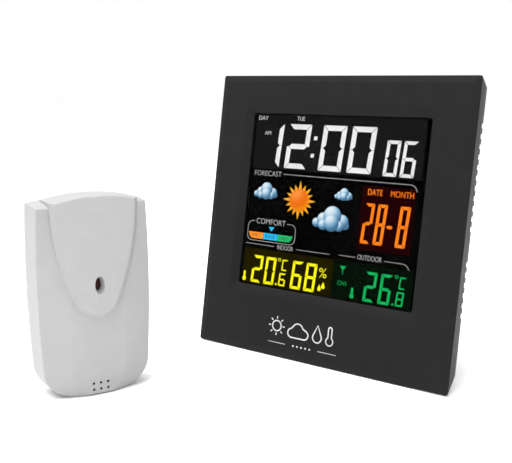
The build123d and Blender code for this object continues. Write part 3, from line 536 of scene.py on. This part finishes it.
# Margin, corner radius and height, from the face down to the window.
DISH = [
    (6.0, 7.0, 0.0), (5.4, 6.5, -0.03), (4.7, 5.9, -0.13), (3.6, 4.9, -0.38), (2.4, 3.8, -0.72),
    (1.3, 2.8, -1.06), (0.55, 2.1, -1.28), (0.2, 1.8, -1.42), (0.03, 1.65, -1.62),
]
# The wall that holds the lens, as the same three measures.
LENS_WALL = [(4.4, 3.0, -2.2), (4.4, 3.0, -4.2), (3.2, 2.0, -4.2), (3.2, 2.0, -2.2)]

rings = [housing_ring(*step) for step in RIM] + [window_ring(*step) for step in DISH]
rings += [window_ring(0, 1.6, -2.4), housing_ring(2.4, 2.6), housing_ring(7.5, 2.0)]
front = skin("front_frame_moulded", rings, closed=True)

wall = skin("lens_wall", [window_ring(*step) for step in LENS_WALL], closed=True)
# Each post's place, radius and rear end: four for the rear cover's screws, then four for the board's.
posts = [(x, y, 3.1, 16.0) for x in (-66, 66) for y in (28, 143)]
posts += [(x, y, 2.1, 10.6) for x in (-52, 52) for y in (32.8, 149.2)]
front = cut(front, wall, "UNION")
for x, y, radius, end in posts:
    front = cut(front, rod(radius, end - 2.3, x, y, -2.3), "UNION")
for x, y, radius, end in posts:
    front = cut(front, rod(1.1, end, x, y, -4.4, 16))
smooth(front, 28)
seat(front, FACE)
dress(front, matt_black_abs, "display_unit", ["front_frame"])

# ---- The sensor's front shell --------------------------------------------------------------------


def arc(start, through, end, count):
    """Points on the circle through three points, from the start and short of the end."""
    (ax, ay), (bx, by), (cx, cy) = start, through, end
    spread = 2 * (ax * (by - cy) + bx * (cy - ay) + cx * (ay - by))
    a, b, c = ax * ax + ay * ay, bx * bx + by * by, cx * cx + cy * cy
    x = (a * (by - cy) + b * (cy - ay) + c * (ay - by)) / spread
    y = (a * (cx - bx) + b * (ax - cx) + c * (bx - ax)) / spread
    first, second, last = (math.atan2(q - y, p - x) for p, q in (start, through, end))
    turn = (last - first) % math.tau
    if (second - first) % math.tau > turn:
        turn -= math.tau
    radius = math.hypot(ax - x, ay - y)
    return [
        (
            x + radius * math.cos(first + turn * step / count),
            y + radius * math.sin(first + turn * step / count),
        )
        for step in range(count)
    ]


def mirrored(half):
    """A whole outline from its right half, whose first and last points are on the middle line."""
    return half + [(-x, y) for x, y in reversed(half[1:-1])]


def sensor_outline(stretch=1.0, inset=0.0, bottom=0.0):
    """Bowed sides, a crowned top, and a round lower end with a flat to stand on."""
    p = [
        (0, 101.6 - inset),
        (28.6 * stretch - inset, 98.8 - inset),
        (29.7 * stretch - inset, 57.0),
        (28.2 * stretch - inset, 15.0),
        (26.3 * stretch - inset, 8.4 + bottom / 2),
        (21.4 * stretch - inset, 3.7 + bottom),
        (17.0 * stretch - inset, 1.4 + bottom),
        (13.0 * stretch - inset, bottom),
    ]
    half = arc(p[0], (14.5 * stretch, 100.9 - inset), p[1], 14)
    half += arc(p[1], p[2], p[3], 24) + arc(p[3], p[4], p[5], 8) + arc(p[5], p[6], p[7], 5)
    half += [p[7], (p[7][0] / 2, bottom), (0, bottom)]
    return mirrored(half)


def tongue_outline(inset):
    """The raised tongue: wide at the top, narrowing to a round tip."""
    top = (22.8 - inset, 101.4)
    flank = (19.4 - inset, 70.0)
    shoulder = (12.3 - 0.9 * inset, 48.3 + 0.35 * inset)
    tip = (0, 40.0 + inset)
    half = arc((0, 104.0), (11.0, 103.42), top, 12) + arc(top, flank, shoulder, 30)
    low = arc(shoulder, tip, (-shoulder[0], shoulder[1]), 24)
    return mirrored(half + low[:12] + [tip])


def between(share, first, second):
    """Each value this share of the way from the first to the second."""
    return [a + (b - a) * share for a, b in zip(first, second)]


# Stretch, inset and bottom of the outline where the front facets begin and where they end.
EDGE = (1.0, 0.0, -0.4)
PANEL = (0.52, 1.0, 1.0)
FACETS = [(0.07, 0.18), (0.3, 1.06), (0.6, 2.17), (0.92, 3.32), (0.97, 3.47), (1.02, 3.56), (1.08, 3.6)]
TONGUE_STEPS = [(0, -13.2), (0, 2.2), (0.12, 2.75), (0.5, 3.5), (5.4, 9.0)]  # inset and height
EYE_HEIGHT = 59.0
# Half width, half height and height out of the panel, from the eye's rounded rim to its bore.
EYE_STEPS = [
    (4.4, 6.6, 9.2), (3.0, 5.2, 7.8), (2.55, 4.7, 7.25), (2.35, 4.4, 6.8), (1.6, 3.2, 3.8), (1.6, 3.2, -1.0),
]
AIR_HOLES = [(x, y) for x in (-3.85, 0, 3.85) for y in (3.25, 6.55)]

shell = [at(-13.4, sensor_outline(1.0, -0.85, -0.4)), at(-13.25, sensor_outline(1.0, -0.9, -0.4))]
shell += [at(-1.0, sensor_outline(1.0, -0.06, -0.4)), at(-0.45, sensor_outline(1.0, 0.08, -0.4))]
shell.append(at(-0.08, sensor_outline(1.0, 0.36, -0.4)))
for share, rise in FACETS:
    shell.append(at(rise, sensor_outline(*between(share, EDGE, PANEL))))
body = skin("sensor_front_moulded", shell)
edit(body)
bpy.ops.mesh.bisect(plane_co=(0, 0, 0), plane_no=(0, 1, 0), use_fill=True, clear_inner=True)
close()

tongue = skin("tongue", [at(z, tongue_outline(inset)) for inset, z in TONGUE_STEPS])
edit(tongue)
bpy.ops.mesh.bisect(plane_co=(0, 40, 8), plane_no=(0, 0.04, 1), use_fill=True, clear_outer=True)
close()
edit(tongue)
bpy.ops.mesh.bisect(plane_co=(0, 0, 0), plane_no=(1, 0, 0))
close()
edit(tongue, faces=lambda f: f.normal.z > 0.99)
bpy.ops.mesh.region_to_loop()
bpy.ops.mesh.bevel(affect="EDGES", offset=1.1, segments=5)
close()
# A faint ridge runs down the middle of the tongue.
edit(tongue, vertices=lambda v: abs(v.co.x) < 0.01 and v.co.z > 5.2)
bpy.ops.transform.translate(value=(0, 0, 0.3))
close()
body = cut(body, tongue, "UNION")

hollow = skin(
    "hollow",
    [at(-13.5, sensor_outline(1.0, 0.9, 1.8)), at(-1.2, sensor_outline(0.97, 2.4, 2.2)),
     at(1.8, sensor_outline(0.5, 2.4, 3.0))],
)
body = cut(body, hollow)


def ellipse(wide, tall, y, count=40):
    """Points round an ellipse on the middle line."""
    return [
        (wide * math.sin(math.tau * step / count), y + tall * math.cos(math.tau * step / count))
        for step in range(count)
    ]


eye = skin("eye_hole", [at(z, ellipse(wide, tall, EYE_HEIGHT)) for wide, tall, z in EYE_STEPS])
body = cut(body, eye)
for x, y in AIR_HOLES:
    body = cut(body, rod(0.7, 12, x, y, 6, 20))
for x, y in ((-22.3, 88), (22.3, 88), (-21, 15), (21, 15)):
    body = cut(body, rod(2.6, 15.4, x, y, 0.4), "UNION")
    body = cut(body, rod(1.1, 14.4, x, y, -2.0, 16))
smooth(body, 26)
seat(body, SENSOR)
dress(body, satin_white_abs, "outdoor_sensor", ["sensor_front"])

# ---- Moulded pieces whose shape comes from the frame, with their edges rolled over ---------------


def rolled(node, radius, finish=None, angle=30):
    """A copy of a node with its flat faces made whole and its edges rounded."""
    put_down()
    source = frame["nodes"][node]
    piece = bpy.data.objects.new(node + "_moulded", source.data.copy())
    bpy.context.scene.collection.objects.link(piece)
    take(piece)
    bpy.ops.mesh.customdata_custom_splitnormals_clear()
    edit(piece)
    bpy.ops.mesh.remove_doubles(threshold=1e-6)
    bpy.ops.mesh.dissolve_limited(angle_limit=math.radians(0.5))
    close()
    use(
        piece, "BEVEL", width=radius * MM, segments=2, limit_method="ANGLE", angle_limit=math.radians(angle),
        use_clamp_overlap=True, miter_outer="MITER_ARC",
    )
    smooth(piece, 35)
    slot = NODE_SLOTS[node]
    return dress(piece, finish or NODE_FINISHES[slot], NODE_BODIES[node], [node])


for node in ("rear_cover", "wall_hanger", "stand_leg", "snooze_bar"):
    rolled(node, 0.25)
for node in ("stand_foot", "foot_strip"):
    rolled(node, 0.3)
for node in ("mode_key", "up_key", "down_key", "channel_key", "alarm_key"):
    rolled(node, 0.35, silicone_black)
for node in ("sensor_rear", "sensor_lid", "sensor_hanger", "channel_knob", "reset_key"):
    rolled(node, 0.2)

# ---- Cells and their springs, the battery door and a painted-shade block behind the sensor's air holes ---

BAY_LEFT, BAY_RIGHT = -60.3, -11.7  # between the contact plates of the display's battery bay
BAY_MIDDLE = 108.0
CELL_PITCH = 10.9
CELL_DEPTH = 18.8
SENSOR_CELL_LOW, SENSOR_CELL_HIGH = 22.4, 71.0  # between the plates of the sensor's bay
SENSOR_CELL_X = 5.6
SENSOR_CELL_DEPTH = 12.8
SPRING_LENGTH = 4.1
WIRE = 0.3  # the wire's radius

# Each cell keeps how far along it every point is, from its flat end to its raised one.
CELLS = {"cell_1": (FACE, 0, 1), "cell_2": (FACE, 0, -1), "cell_3": (FACE, 0, 1),
         "sensor_cell_1": (SENSOR, 1, 1), "sensor_cell_2": (SENSOR, 1, -1)}
for node, (place, axis, way) in CELLS.items():
    piece = rolled(node, 0.4)
    back = place.inverted()
    spots = [way * (back @ vertex.co)[axis] for vertex in piece.data.vertices]
    along = piece.data.attributes.new("along", "FLOAT", "POINT")
    for kept, spot in zip(along.data, spots):
        kept.value = (spot - min(spots)) / (max(spots) - min(spots))


def coil(start, run, across, up, turns=4, steps=72, sides=8):
    """A spring of wire that narrows as it runs from its plate to its cell."""
    rings = []
    for step in range(steps + 1):
        share = step / steps
        angle = math.tau * turns * share
        spoke = across * math.cos(angle) + up * math.sin(angle)
        centre = start + run * (WIRE + (SPRING_LENGTH - 2 * WIRE) * share) + spoke * (3.0 - 1.1 * share)
        around = [math.tau * k / sides for k in range(sides)]
        rings.append(
            [tuple(centre + spoke * (WIRE * math.cos(a)) + run * (WIRE * math.sin(a))) for a in around]
        )
    return skin("coil", rings)


def wound(node, place, coils):
    """Coils as one piece, in place of a node."""
    springs = seat(smooth(join(node + "_wound", *coils), 40), place)
    dress(springs, plated_steel, NODE_BODIES[node], [node])


def block(across, tall, deep, x, y, z):
    """A box of these sizes round a point."""
    put_down()
    bpy.ops.mesh.primitive_cube_add(size=1, location=(x, y, z), scale=(across, tall, deep))
    bpy.ops.object.transform_apply(location=True, rotation=True, scale=True)
    return bpy.context.object


X, Y, Z = Vector((1, 0, 0)), Vector((0, 1, 0)), Vector((0, 0, 1))
wound("battery_springs", FACE, [
    coil(Vector((BAY_LEFT, BAY_MIDDLE + CELL_PITCH, -CELL_DEPTH)), X, Y, Z),
    coil(Vector((BAY_RIGHT, BAY_MIDDLE, -CELL_DEPTH)), -X, Y, Z),
    coil(Vector((BAY_LEFT, BAY_MIDDLE - CELL_PITCH, -CELL_DEPTH)), X, Y, Z),
])
wound("sensor_springs", SENSOR, [
    coil(Vector((-SENSOR_CELL_X, SENSOR_CELL_LOW, -SENSOR_CELL_DEPTH)), Y, X, Z),
    coil(Vector((SENSOR_CELL_X, SENSOR_CELL_HIGH, -SENSOR_CELL_DEPTH)), -Y, X, Z),
])

DOOR_WIDTH, DOOR_HEIGHT, DOOR_X = 54.2, 38.1, -36.0
DOOR_EDGE = [(0.25, -24.4), (0, -24.65), (0, -25.75), (0.07, -25.93), (0.25, -26.0)]  # inset and height
GRIP_X = -14.3  # the first of four grip grooves
rings = []
for inset, z in DOOR_EDGE:
    outline = rounded(DOOR_WIDTH - 2 * inset, DOOR_HEIGHT - 2 * inset, BAY_MIDDLE, 0.9, z)
    rings.append([(x + DOOR_X, y, z) for x, y, z in outline])
door = skin("battery_door_moulded", rings)
for groove in range(4):
    door = cut(door, block(1, 16, 1, GRIP_X - 2 * groove, BAY_MIDDLE, -26))
seat(smooth(door, 35), FACE)
dress(door, coarse_black_abs, "battery_door_body", ["battery_door"])

# A black block behind the air holes, with plugs pressed a little way into them: painted shade, put there so the
# holes read dark.
hole_shade_block = block(12, 5.5, 0.9, 0, 5.75, 1.05)
hole_shade_plugs = [rod(0.74, 2.0, x, y, 3.0, 20) for x, y in AIR_HOLES]
hole_shade_block = join("hole_shade_block", hole_shade_block, *hole_shade_plugs)
dress(seat(hole_shade_block, SENSOR), foam_tape, "outdoor_sensor")

# ---- What the display shows ----------------------------------------------------------------------

PANEL_Z = -4.16  # the coloured fields lie on the display's glass
SEGMENT_Z = -4.10  # and the segments lie on them
SLANT = 0.065  # the figures lean to the right by this much for each millimetre of height


def flat(points, z=SEGMENT_Z):
    """A flat shape with these corners: a filled circle whose vertices are moved to them."""
    put_down()
    bpy.ops.mesh.primitive_circle_add(vertices=len(points), radius=1, fill_type="NGON", location=(0, 0, 0))
    shape = bpy.context.object
    for vertex, (x, y) in zip(shape.data.vertices, points):
        vertex.co = (x, y, z)
    return shape


LIT = {"0": "abcdef", "1": "bc", "2": "abged", "6": "acdefg", "8": "abcdefg", "C": "adef"}


def figure(sign, x, y, width, height, stroke, gap=0.22):
    """A seven-segment figure whose lower left corner is at x, y."""
    w, h, t, g, mid = width, height, stroke, gap, height / 2
    top = [(g, h), (w - g, h), (w - g - t, h - t), (g + t, h - t)]
    right = [
        (w, h - g), (w, mid + g / 2), (w - t / 2, mid + g / 2), (w - t, mid + t / 2 + g / 2),
        (w - t, h - t - g),
    ]
    bar = [
        (g + t / 2, mid), (t + g / 2, mid + t / 2), (w - t - g / 2, mid + t / 2), (w - g - t / 2, mid),
        (w - t - g / 2, mid - t / 2), (t + g / 2, mid - t / 2),
    ]
    shapes = {
        "a": top,
        "b": right,
        "c": [(p, h - q) for p, q in right],
        "d": [(p, h - q) for p, q in top],
        "e": [(w - p, h - q) for p, q in right],
        "f": [(w - p, q) for p, q in right],
        "g": bar,
    }
    return [flat([(x + p + SLANT * q, y + q) for p, q in shapes[part]]) for part in LIT[sign]]


def label(words, left, low, right, high, weight=-0.008):
    """Words set to fill a box."""
    put_down()
    bpy.ops.object.text_add(location=(0, 0, 0))
    text = bpy.context.object
    text.data.body = words
    text.data.offset = weight
    text.data.resolution_u = 4
    bpy.ops.object.convert(target="MESH")
    text = bpy.context.object
    xs = [v.co.x for v in text.data.vertices]
    ys = [v.co.y for v in text.data.vertices]
    for v in text.data.vertices:
        v.co.x = left + (v.co.x - min(xs)) / (max(xs) - min(xs)) * (right - left)
        v.co.y = low + (v.co.y - min(ys)) / (max(ys) - min(ys)) * (high - low)
        v.co.z = SEGMENT_Z
    return [text]


def line(points, width=0.3, closed=False, z=SEGMENT_Z):
    """A thin line through points: a strip of the given width, mitred at its corners."""
    count = len(points)
    sides = ([], [])
    for place, (x, y) in enumerate(points):
        before = points[(place - 1) % count] if closed or place > 0 else points[place]
        after = points[(place + 1) % count] if closed or place < count - 1 else points[place]
        run = Vector((after[0] - before[0], after[1] - before[1])).normalized()
        sides[0].append((x - run.y * width / 2, y + run.x * width / 2))
        sides[1].append((x + run.y * width / 2, y - run.x * width / 2))
    spans = range(count if closed else count - 1)
    strips = []
    for k in spans:
        after = (k + 1) % count
        strips.append(flat([sides[0][k], sides[0][after], sides[1][after], sides[1][k]], z))
    return strips


def bend(x, y, radius, start, end, steps=7):
    """Points round a corner, between two angles in degrees."""
    return [
        (x + radius * math.cos(math.radians(start + (end - start) * k / steps)),
         y + radius * math.sin(math.radians(start + (end - start) * k / steps)))
        for k in range(steps + 1)
    ]


def disc(x, y, radius, z=SEGMENT_Z, count=20):
    """A flat round spot."""
    turns = [math.tau * k / count for k in range(count)]
    return flat([(x + radius * math.cos(turn), y + radius * math.sin(turn)) for turn in turns], z)


def printed(name, shapes, ink, thick=0.06, place=FACE, body="display_unit"):
    """Joins flat shapes into one piece with a little thickness, and seats it in the display."""
    piece = outward(join(name, *shapes))
    for face in piece.data.polygons:
        if face.normal.z < 0:
            face.flip()
    use(piece, "SOLIDIFY", thickness=thick, offset=1.0)
    seat(piece, place)
    return dress(piece, ink, body)


# Colour filter inks on the display's glass, lit from behind: matt, and bright where a segment is on.
white_light = lit_ink("white_light", "#d0d0d0", "#dcdcdc")
grey_light = lit_ink("grey_light", "#a2a2a2", "#b0b0b0")
orange_light = lit_ink("orange_light", "#ec6a0e", "#f87c18")
yellow_light = lit_ink("yellow_light", "#e6dc0a", "#f4ec1c")
green_light = lit_ink("green_light", "#0a9a48", "#12aa54")
blue_light = lit_ink("blue_light", "#1c9ed8", "#2cb0e6")
leaf_light = lit_ink("leaf_light", "#1fa058", "#2cb568")
amber_light = lit_ink("amber_light", "#ee7c1c", "#fb8f2c")
# The same inks under the segments, where only stray light comes through: nearly black.
dim_grey = lit_ink("dim_grey", "#131213", "#171617")
dim_red = lit_ink("dim_red", "#160001", "#1b0102")
dim_olive = lit_ink("dim_olive", "#161200", "#1b1700")
dim_green = lit_ink("dim_green", "#020a03", "#030e05")
# Opaque black ink, printed over the comfort bar's colours.
dark_print = lit_ink("dark_print", "#101010", "#161616")

FIELD_THICK = 0.04
fields = {
    "field_clock": ([(-59.2, 142.0), (53.7, 142.0), (53.8, 109.6), (-58.6, 109.6)], dim_grey),
    "field_date": ([(19.5, 104.6), (51.6, 104.6), (51.6, 69.1), (19.5, 69.1)], dim_red),
    "field_indoor": ([(-56.8, 61.3), (5.7, 61.3), (5.7, 40.0), (-56.8, 40.0)], dim_olive),
    "field_outdoor": ([(5.7, 61.3), (55.2, 61.3), (55.2, 40.0), (5.7, 40.0)], dim_green),
}
for name, (corners, ink) in fields.items():
    printed(name, [flat(corners, PANEL_Z)], ink, FIELD_THICK)

# A figure's numbers are its lower left corner, width, height and stroke. A label's are its four sides.
clock = figure("1", -53.4, 110.9, 15.2, 26, 3.0) + figure("2", -34.4, 110.9, 15.2, 26, 3.0)
clock += figure("0", -11.0, 110.9, 15.2, 26, 3.0) + figure("0", 7.9, 110.9, 15.2, 26, 3.0)
clock += figure("0", 30.5, 110.5, 8.2, 19.6, 1.9) + figure("6", 40.7, 110.5, 8.2, 19.6, 1.9)
DOT, LEAN = 1.1, 0.13  # half the colon's dots, and how far their top leans over
for x, y in ((-14.3, 129.2), (-15.5, 119.1)):
    low = [(x - DOT - LEAN, y - DOT), (x + DOT - LEAN, y - DOT)]
    clock.append(flat(low + [(x + DOT + LEAN, y + DOT), (x - DOT + LEAN, y + DOT)]))
printed("clock_figures", clock, white_light)

words = label("DAY", -55.6, 138.8, -48.9, 141.2) + label("TUE", -28.2, 139.0, -22.9, 141.4)
words += label("AM", -50.4, 130.0, -45.9, 132.3)
printed("clock_words", words, white_light)

captions = label("FORECAST", -54.8, 105.4, -35.4, 108.4) + label("INDOOR", -33.3, 62.5, -22.2, 65.2)
captions += label("COMFORT", -50.0, 76.5, -29.1, 79.7) + label("OUTDOOR", 20.6, 63.4, 35.6, 66.2)
captions += line([(-34.3, 107.1), (47.6, 106.9)] + bend(47.8, 102.6, 4.3, 84, 10))
captions += line([(-56.3, 64.0), (-35.6, 63.9)], 0.26) + line([(-20.1, 63.9), (2.5, 63.9)], 0.26)
captions += line([(8.9, 64.3), (19.2, 64.3)], 0.26)
captions += line([(37.2, 64.4), (48.0, 64.3)] + bend(48.3, 60.7, 3.6, 84, 10), 0.26)
# The comfort box: a rounded frame that opens at the top for its caption.
box = [(-28.0, 77.9)] + bend(-25.2, 74.4, 3.5, 90, 0) + bend(-25.2, 69.6, 3.5, 0, -90)
box += bend(-52.4, 69.6, 3.5, -90, -180) + bend(-52.4, 74.4, 3.5, 180, 90) + [(-51.2, 77.9)]
captions += line(box)
printed("captions", captions, grey_light)

bar = {
    "comfort_wet": ([(-55.0, 71.2), (-44.4, 71.2), (-44.4, 67.4), (-52.4, 67.4), (-54.0, 68.6)], amber_light),
    "comfort_fair": ([(-44.2, 71.2), (-34.0, 71.2), (-34.0, 67.4), (-44.2, 67.4)], blue_light),
    "comfort_dry": ([(-33.8, 71.2), (-23.3, 71.2), (-24.2, 68.6), (-25.8, 67.4), (-33.8, 67.4)], leaf_light),
}
for name, (corners, ink) in bar.items():
    printed(name, [flat(corners)], ink)
bar_words = label("WET", -52.6, 68.4, -46.2, 70.3) + label("BASE", -42.6, 68.4, -35.7, 70.3)
bar_words += label("DRY", -32.2, 68.4, -26.4, 70.3)
BAR_THICK = 0.07  # the words stand on the bar
for word in bar_words:
    word.location.z = BAR_THICK
printed("comfort_words", bar_words, dark_print, 0.03)
printed("comfort_pointer", [flat([(-40.7, 75.2), (-36.7, 75.2), (-38.7, 72.5)])], blue_light)

printed(
    "date_words",
    label("DATE", 23.0, 99.6, 31.9, 102.9, 0.0) + label("MONTH", 36.9, 99.5, 50.5, 102.9, 0.0),
    orange_light,
)
date = figure("2", 21.0, 72.6, 5.8, 22.4, 1.8) + figure("8", 28.8, 72.6, 5.8, 22.4, 1.8)
date += figure("8", 42.2, 72.6, 6.0, 22.4, 1.8)
date.append(flat([(36.2, 83.0), (37.0, 83.9), (39.2, 83.9), (40.0, 83.0), (39.2, 82.1), (37.0, 82.1)]))
printed("date_figures", date, orange_light)


def degree_sign(x, y, radius=0.85):
    """A small ring."""
    turns = [math.tau * k / 16 for k in range(16)]
    ring = [(x + radius * math.cos(turn), y + radius * math.sin(turn)) for turn in turns]
    return line(ring, 0.35, closed=True)


def thermometer(x, y, tall):
    """A stem with a round bulb under it."""
    stem = [(x - 0.7, y + 1.2), (x + 0.7, y + 1.2)] + bend(x, y + tall - 0.8, 0.7, 0, 180, 6)
    return [disc(x, y + 1.2, 1.35), flat(stem)]


def drop(x, y, radius):
    """A water drop: round below, drawn to a point above."""
    return flat(bend(x, y, radius, 150, 390, 14) + [(x, y + 2.4 * radius)])


indoor = figure("2", -50.4, 40.9, 7.2, 16.4, 1.7) + figure("0", -41.0, 40.9, 7.2, 16.4, 1.7)
indoor += figure("6", -30.3, 41.3, 4.6, 7.6, 0.95, 0.12) + [disc(-31.8, 41.9, 0.62)]
indoor += figure("C", -28.9, 50.4, 3.9, 6.6, 0.8, 0.1) + degree_sign(-30.7, 56.6)
indoor += figure("6", -22.0, 40.9, 7.2, 16.4, 1.7) + figure("8", -12.6, 40.9, 7.2, 16.4, 1.7)
indoor += label("%", -3.0, 50.0, 2.1, 55.6) + thermometer(-55.2, 41.2, 6.0)
indoor += [drop(-1.9, 43.4, 1.15), drop(0.5, 44.9, 1.2)]
printed("indoor_figures", indoor, yellow_light)

outdoor = figure("2", 26.2, 40.9, 6.9, 16.6, 1.6) + figure("6", 35.5, 40.9, 6.9, 16.6, 1.6)
outdoor += figure("8", 46.0, 41.3, 4.4, 7.8, 0.9, 0.12) + [disc(44.6, 41.9, 0.6)]
outdoor += figure("C", 47.2, 50.6, 3.7, 6.6, 0.75, 0.1) + degree_sign(45.5, 57.0)
outdoor += label("CH1", 9.6, 47.6, 15.2, 50.0) + thermometer(19.4, 41.4, 6.0)
outdoor.append(flat([(10.2, 58.5), (14.2, 58.5), (12.2, 56.0)]))
outdoor.append(flat([(12.0, 56.6), (12.4, 56.6), (12.4, 54.0), (12.0, 54.0)]))
printed("outdoor_figures", outdoor, green_light)

# ---- The forecast pictures: puffs of cloud and a sun, shaded as round things ---------------------

# Printed pictures on the display's glass, lit from behind: matt, shaded from their edges to where light falls.
CLOUD_SHADES = [(0.0, "#2f5372"), (0.35, "#578ab0"), (0.7, "#94bfda"), (1.0, "#e6f2f9")]
cloud_light = shaded_ink("cloud_light", CLOUD_SHADES)
sun_light = shaded_ink("sun_light", [(0.0, "#f59a12"), (0.35, "#f0700c"), (0.7, "#f37614"), (1.0, "#fa9440")])
ray_light = shaded_ink("ray_light", [(0.0, "#ffc93a"), (1.0, "#f79a1a")])
LAMP = Vector((-0.35, 0.62, 0.7)).normalized()


def puff(x, y, radius, z):
    """Half a ball pressed flat, which keeps the shading of the round ball on its points."""
    put_down()
    bpy.ops.mesh.primitive_uv_sphere_add(segments=36, ring_count=18, radius=radius, location=(0, 0, 0))
    ball = bpy.context.object
    edit(ball, vertices=lambda v: v.co.z < -0.01 * radius)
    bpy.ops.mesh.delete(type="VERT")
    close()
    shading = ball.data.attributes.new("shading", "FLOAT", "POINT")
    for vertex, kept in zip(ball.data.vertices, shading.data):
        facing = vertex.co.normalized().dot(LAMP)
        kept.value = 0.16 + 0.84 * max(0.0, facing) ** 1.1
    for vertex in ball.data.vertices:
        vertex.co = (x + vertex.co.x, y + vertex.co.y, z + vertex.co.z / radius * 0.02)
    return ball


# Each puff of a cloud, back to front: its middle and radius as shares of the cloud's width.
CLOUD = [
    (-0.38, -0.12, 0.11), (0.40, -0.12, 0.10), (-0.20, -0.03, 0.16), (0.31, -0.05, 0.17), (0.04, 0.06, 0.24),
    (-0.20, -0.16, 0.12), (0.24, -0.16, 0.12), (0.03, -0.10, 0.20),
]


def cloud(name, left, right, middle_y):
    """A heap of puffs between two sides, the front ones over the back ones."""
    width, x = right - left, (left + right) / 2
    puffs = [
        puff(x + p * width, middle_y + q * width, r * width, SEGMENT_Z + 0.02 * place)
        for place, (p, q, r) in enumerate(CLOUD)
    ]
    piece = join(name, *puffs)
    seat(smooth(piece, 60), FACE)
    return dress(piece, cloud_light, "display_unit")


cloud("cloud_left", -54.2, -37.0, 96.4)
cloud("cloud_small", 1.8, 13.6, 98.5)
cloud("cloud_large", -11.2, 13.2, 84.1)

SUN = (-21.4, 92.7)
RAY_FOOT = 6.2  # the rays start this far from the sun's middle
RAY_SPREAD = 0.2  # and are this many radians wide to each side there
REACHES = (11.3, 9.6, 10.4, 9.6)  # long, short, middling, short, and round again


def round_sun(angle, reach):
    """The point at an angle and a distance from the sun's middle."""
    return (SUN[0] + reach * math.cos(angle), SUN[1] + reach * math.sin(angle))


rays = []
for k in range(16):
    angle = math.tau * k / 16
    feet = [round_sun(angle + turn, RAY_FOOT) for turn in (-RAY_SPREAD, RAY_SPREAD)]
    rays.append(flat([round_sun(angle, REACHES[k % 4])] + feet))
sun_rays = join("sun_rays", *rays)
shading = sun_rays.data.attributes.new("shading", "FLOAT", "POINT")
for vertex, kept in zip(sun_rays.data.vertices, shading.data):
    kept.value = min(1.0, max(0.0, (11.0 - (Vector(vertex.co.xy) - Vector(SUN)).length) / 5))
seat(use(outward(sun_rays), "SOLIDIFY", thickness=0.03, offset=0.0), FACE)
dress(sun_rays, ray_light, "display_unit")
sun_ball = puff(SUN[0], SUN[1], 6.5, SEGMENT_Z + 0.05)
seat(smooth(sun_ball, 60), FACE)
sun_ball.name = sun_ball.data.name = "sun_ball"
dress(sun_ball, sun_light, "display_unit")

# ---- Emblem on the face: weather signs in silver ink, between two fine rules ---------------------

INK_Z = 0.01
SIGN_X, SIGN_Y = -25.4, 18.4  # the middle of the sun sign
emblem = line(bend(SIGN_X, SIGN_Y, 3.0, 0, 360, 24)[:-1], 0.75, closed=True, z=INK_Z)
for k in range(8):
    turn = math.tau * k / 8
    ends = [(SIGN_X + reach * math.cos(turn), SIGN_Y + reach * math.sin(turn)) for reach in (4.1, 5.6)]
    emblem += line(ends, 0.7, z=INK_Z)
puffed = bend(-14.8, 16.0, 2.6, 270, 100, 10) + bend(-10.8, 18.2, 3.6, 150, 20, 12)
puffed += bend(-6.2, 16.0, 2.6, 70, -90, 10)
emblem += line(puffed, 0.75, closed=True, z=INK_Z)
emblem += line(bend(2.4, 16.2, 2.9, 155, 385, 18) + [(2.4, 23.2)], 0.75, closed=True, z=INK_Z)
emblem += line(
    bend(10.6, 15.4, 2.3, 120, 420, 18) + bend(10.6, 22.4, 1.15, 0, 180, 8), 0.7, closed=True, z=INK_Z
)
emblem += line([(-30.6, 8.6), (-18.6, 8.6)], 0.3, z=INK_Z) + line([(3.6, 8.6), (15.6, 8.6)], 0.3, z=INK_Z)
for x in (-13.0, -10.2, -7.4, -4.6, -1.8):
    emblem.append(disc(x, 8.6, 0.55, INK_Z))
printed("face_emblem", emblem, silver_ink, 0.03)

# ---- Studio: a pale floor, soft light and the camera ---------------------------------------------

put_down()
bpy.ops.mesh.primitive_plane_add(size=12, location=(0, 0, 0))
floor = bpy.context.object
floor.name = "floor"
floor_paint = moulded(
    "floor_paint", {"Specular IOR Level": 0.1}, ("#fdfdfd", "#ffffff"), (0.8, 0.9), 60, 0.0, cloud=400.0
)
floor.data.materials.append(floor_paint)

world = bpy.data.worlds.new("studio")
bpy.context.scene.world = world
world.use_nodes = True
sky = world.node_tree.nodes["Background"]
sky.inputs["Color"].default_value = linear("#ffffff")
sky.inputs["Strength"].default_value = 1.0


def softbox(name, at, towards, size, watts):
    """A square area light."""
    data = bpy.data.lights.new(name, "AREA")
    data.shape = "SQUARE"
    data.size = size
    data.energy = watts
    box = bpy.data.objects.new(name, data)
    bpy.context.scene.collection.objects.link(box)
    box.location = at
    box.rotation_mode = "QUATERNION"
    box.rotation_quaternion = (Vector(at) - Vector(towards)).to_track_quat("Z", "Y")
    return box


softbox("top_light", (-0.2, -0.2, 1.3), (0, -0.03, 0.05), 0.7, 15.0)
softbox("left_light", (-1.0, -0.6, 1.2), (-0.05, -0.1, 0.08), 0.5, 5.0)
softbox("key_light", (0.15, -0.75, 1.1), (-0.05, -0.08, 0.06), 0.4, 5.0)
softbox("side_light", (0.42, 0.24, 0.09), (0.08, 0.01, 0.08), 0.12, 1.1)

eye_point = Vector((0.2364, -0.3834, 0.1607))
forward = Vector((-0.5772, 0.7958, -0.1830)).normalized()
side = forward.cross(Vector((0, 0, 1))).normalized()
camera = bpy.data.objects.new("camera", bpy.data.cameras.new("camera"))
bpy.context.scene.collection.objects.link(camera)
camera.data.sensor_width = 36.0
camera.data.lens = 57.66
camera.data.clip_start = 0.01
camera.rotation_mode = "QUATERNION"
camera_axes = Matrix((side, side.cross(forward), -forward)).transposed().to_4x4()
camera.matrix_world = Matrix.Translation(eye_point) @ camera_axes
bpy.context.scene.camera = camera
bpy.context.scene.view_settings.view_transform = "Standard"
bpy.context.scene.view_settings.look = "None"

bpy.context.view_layer.update()
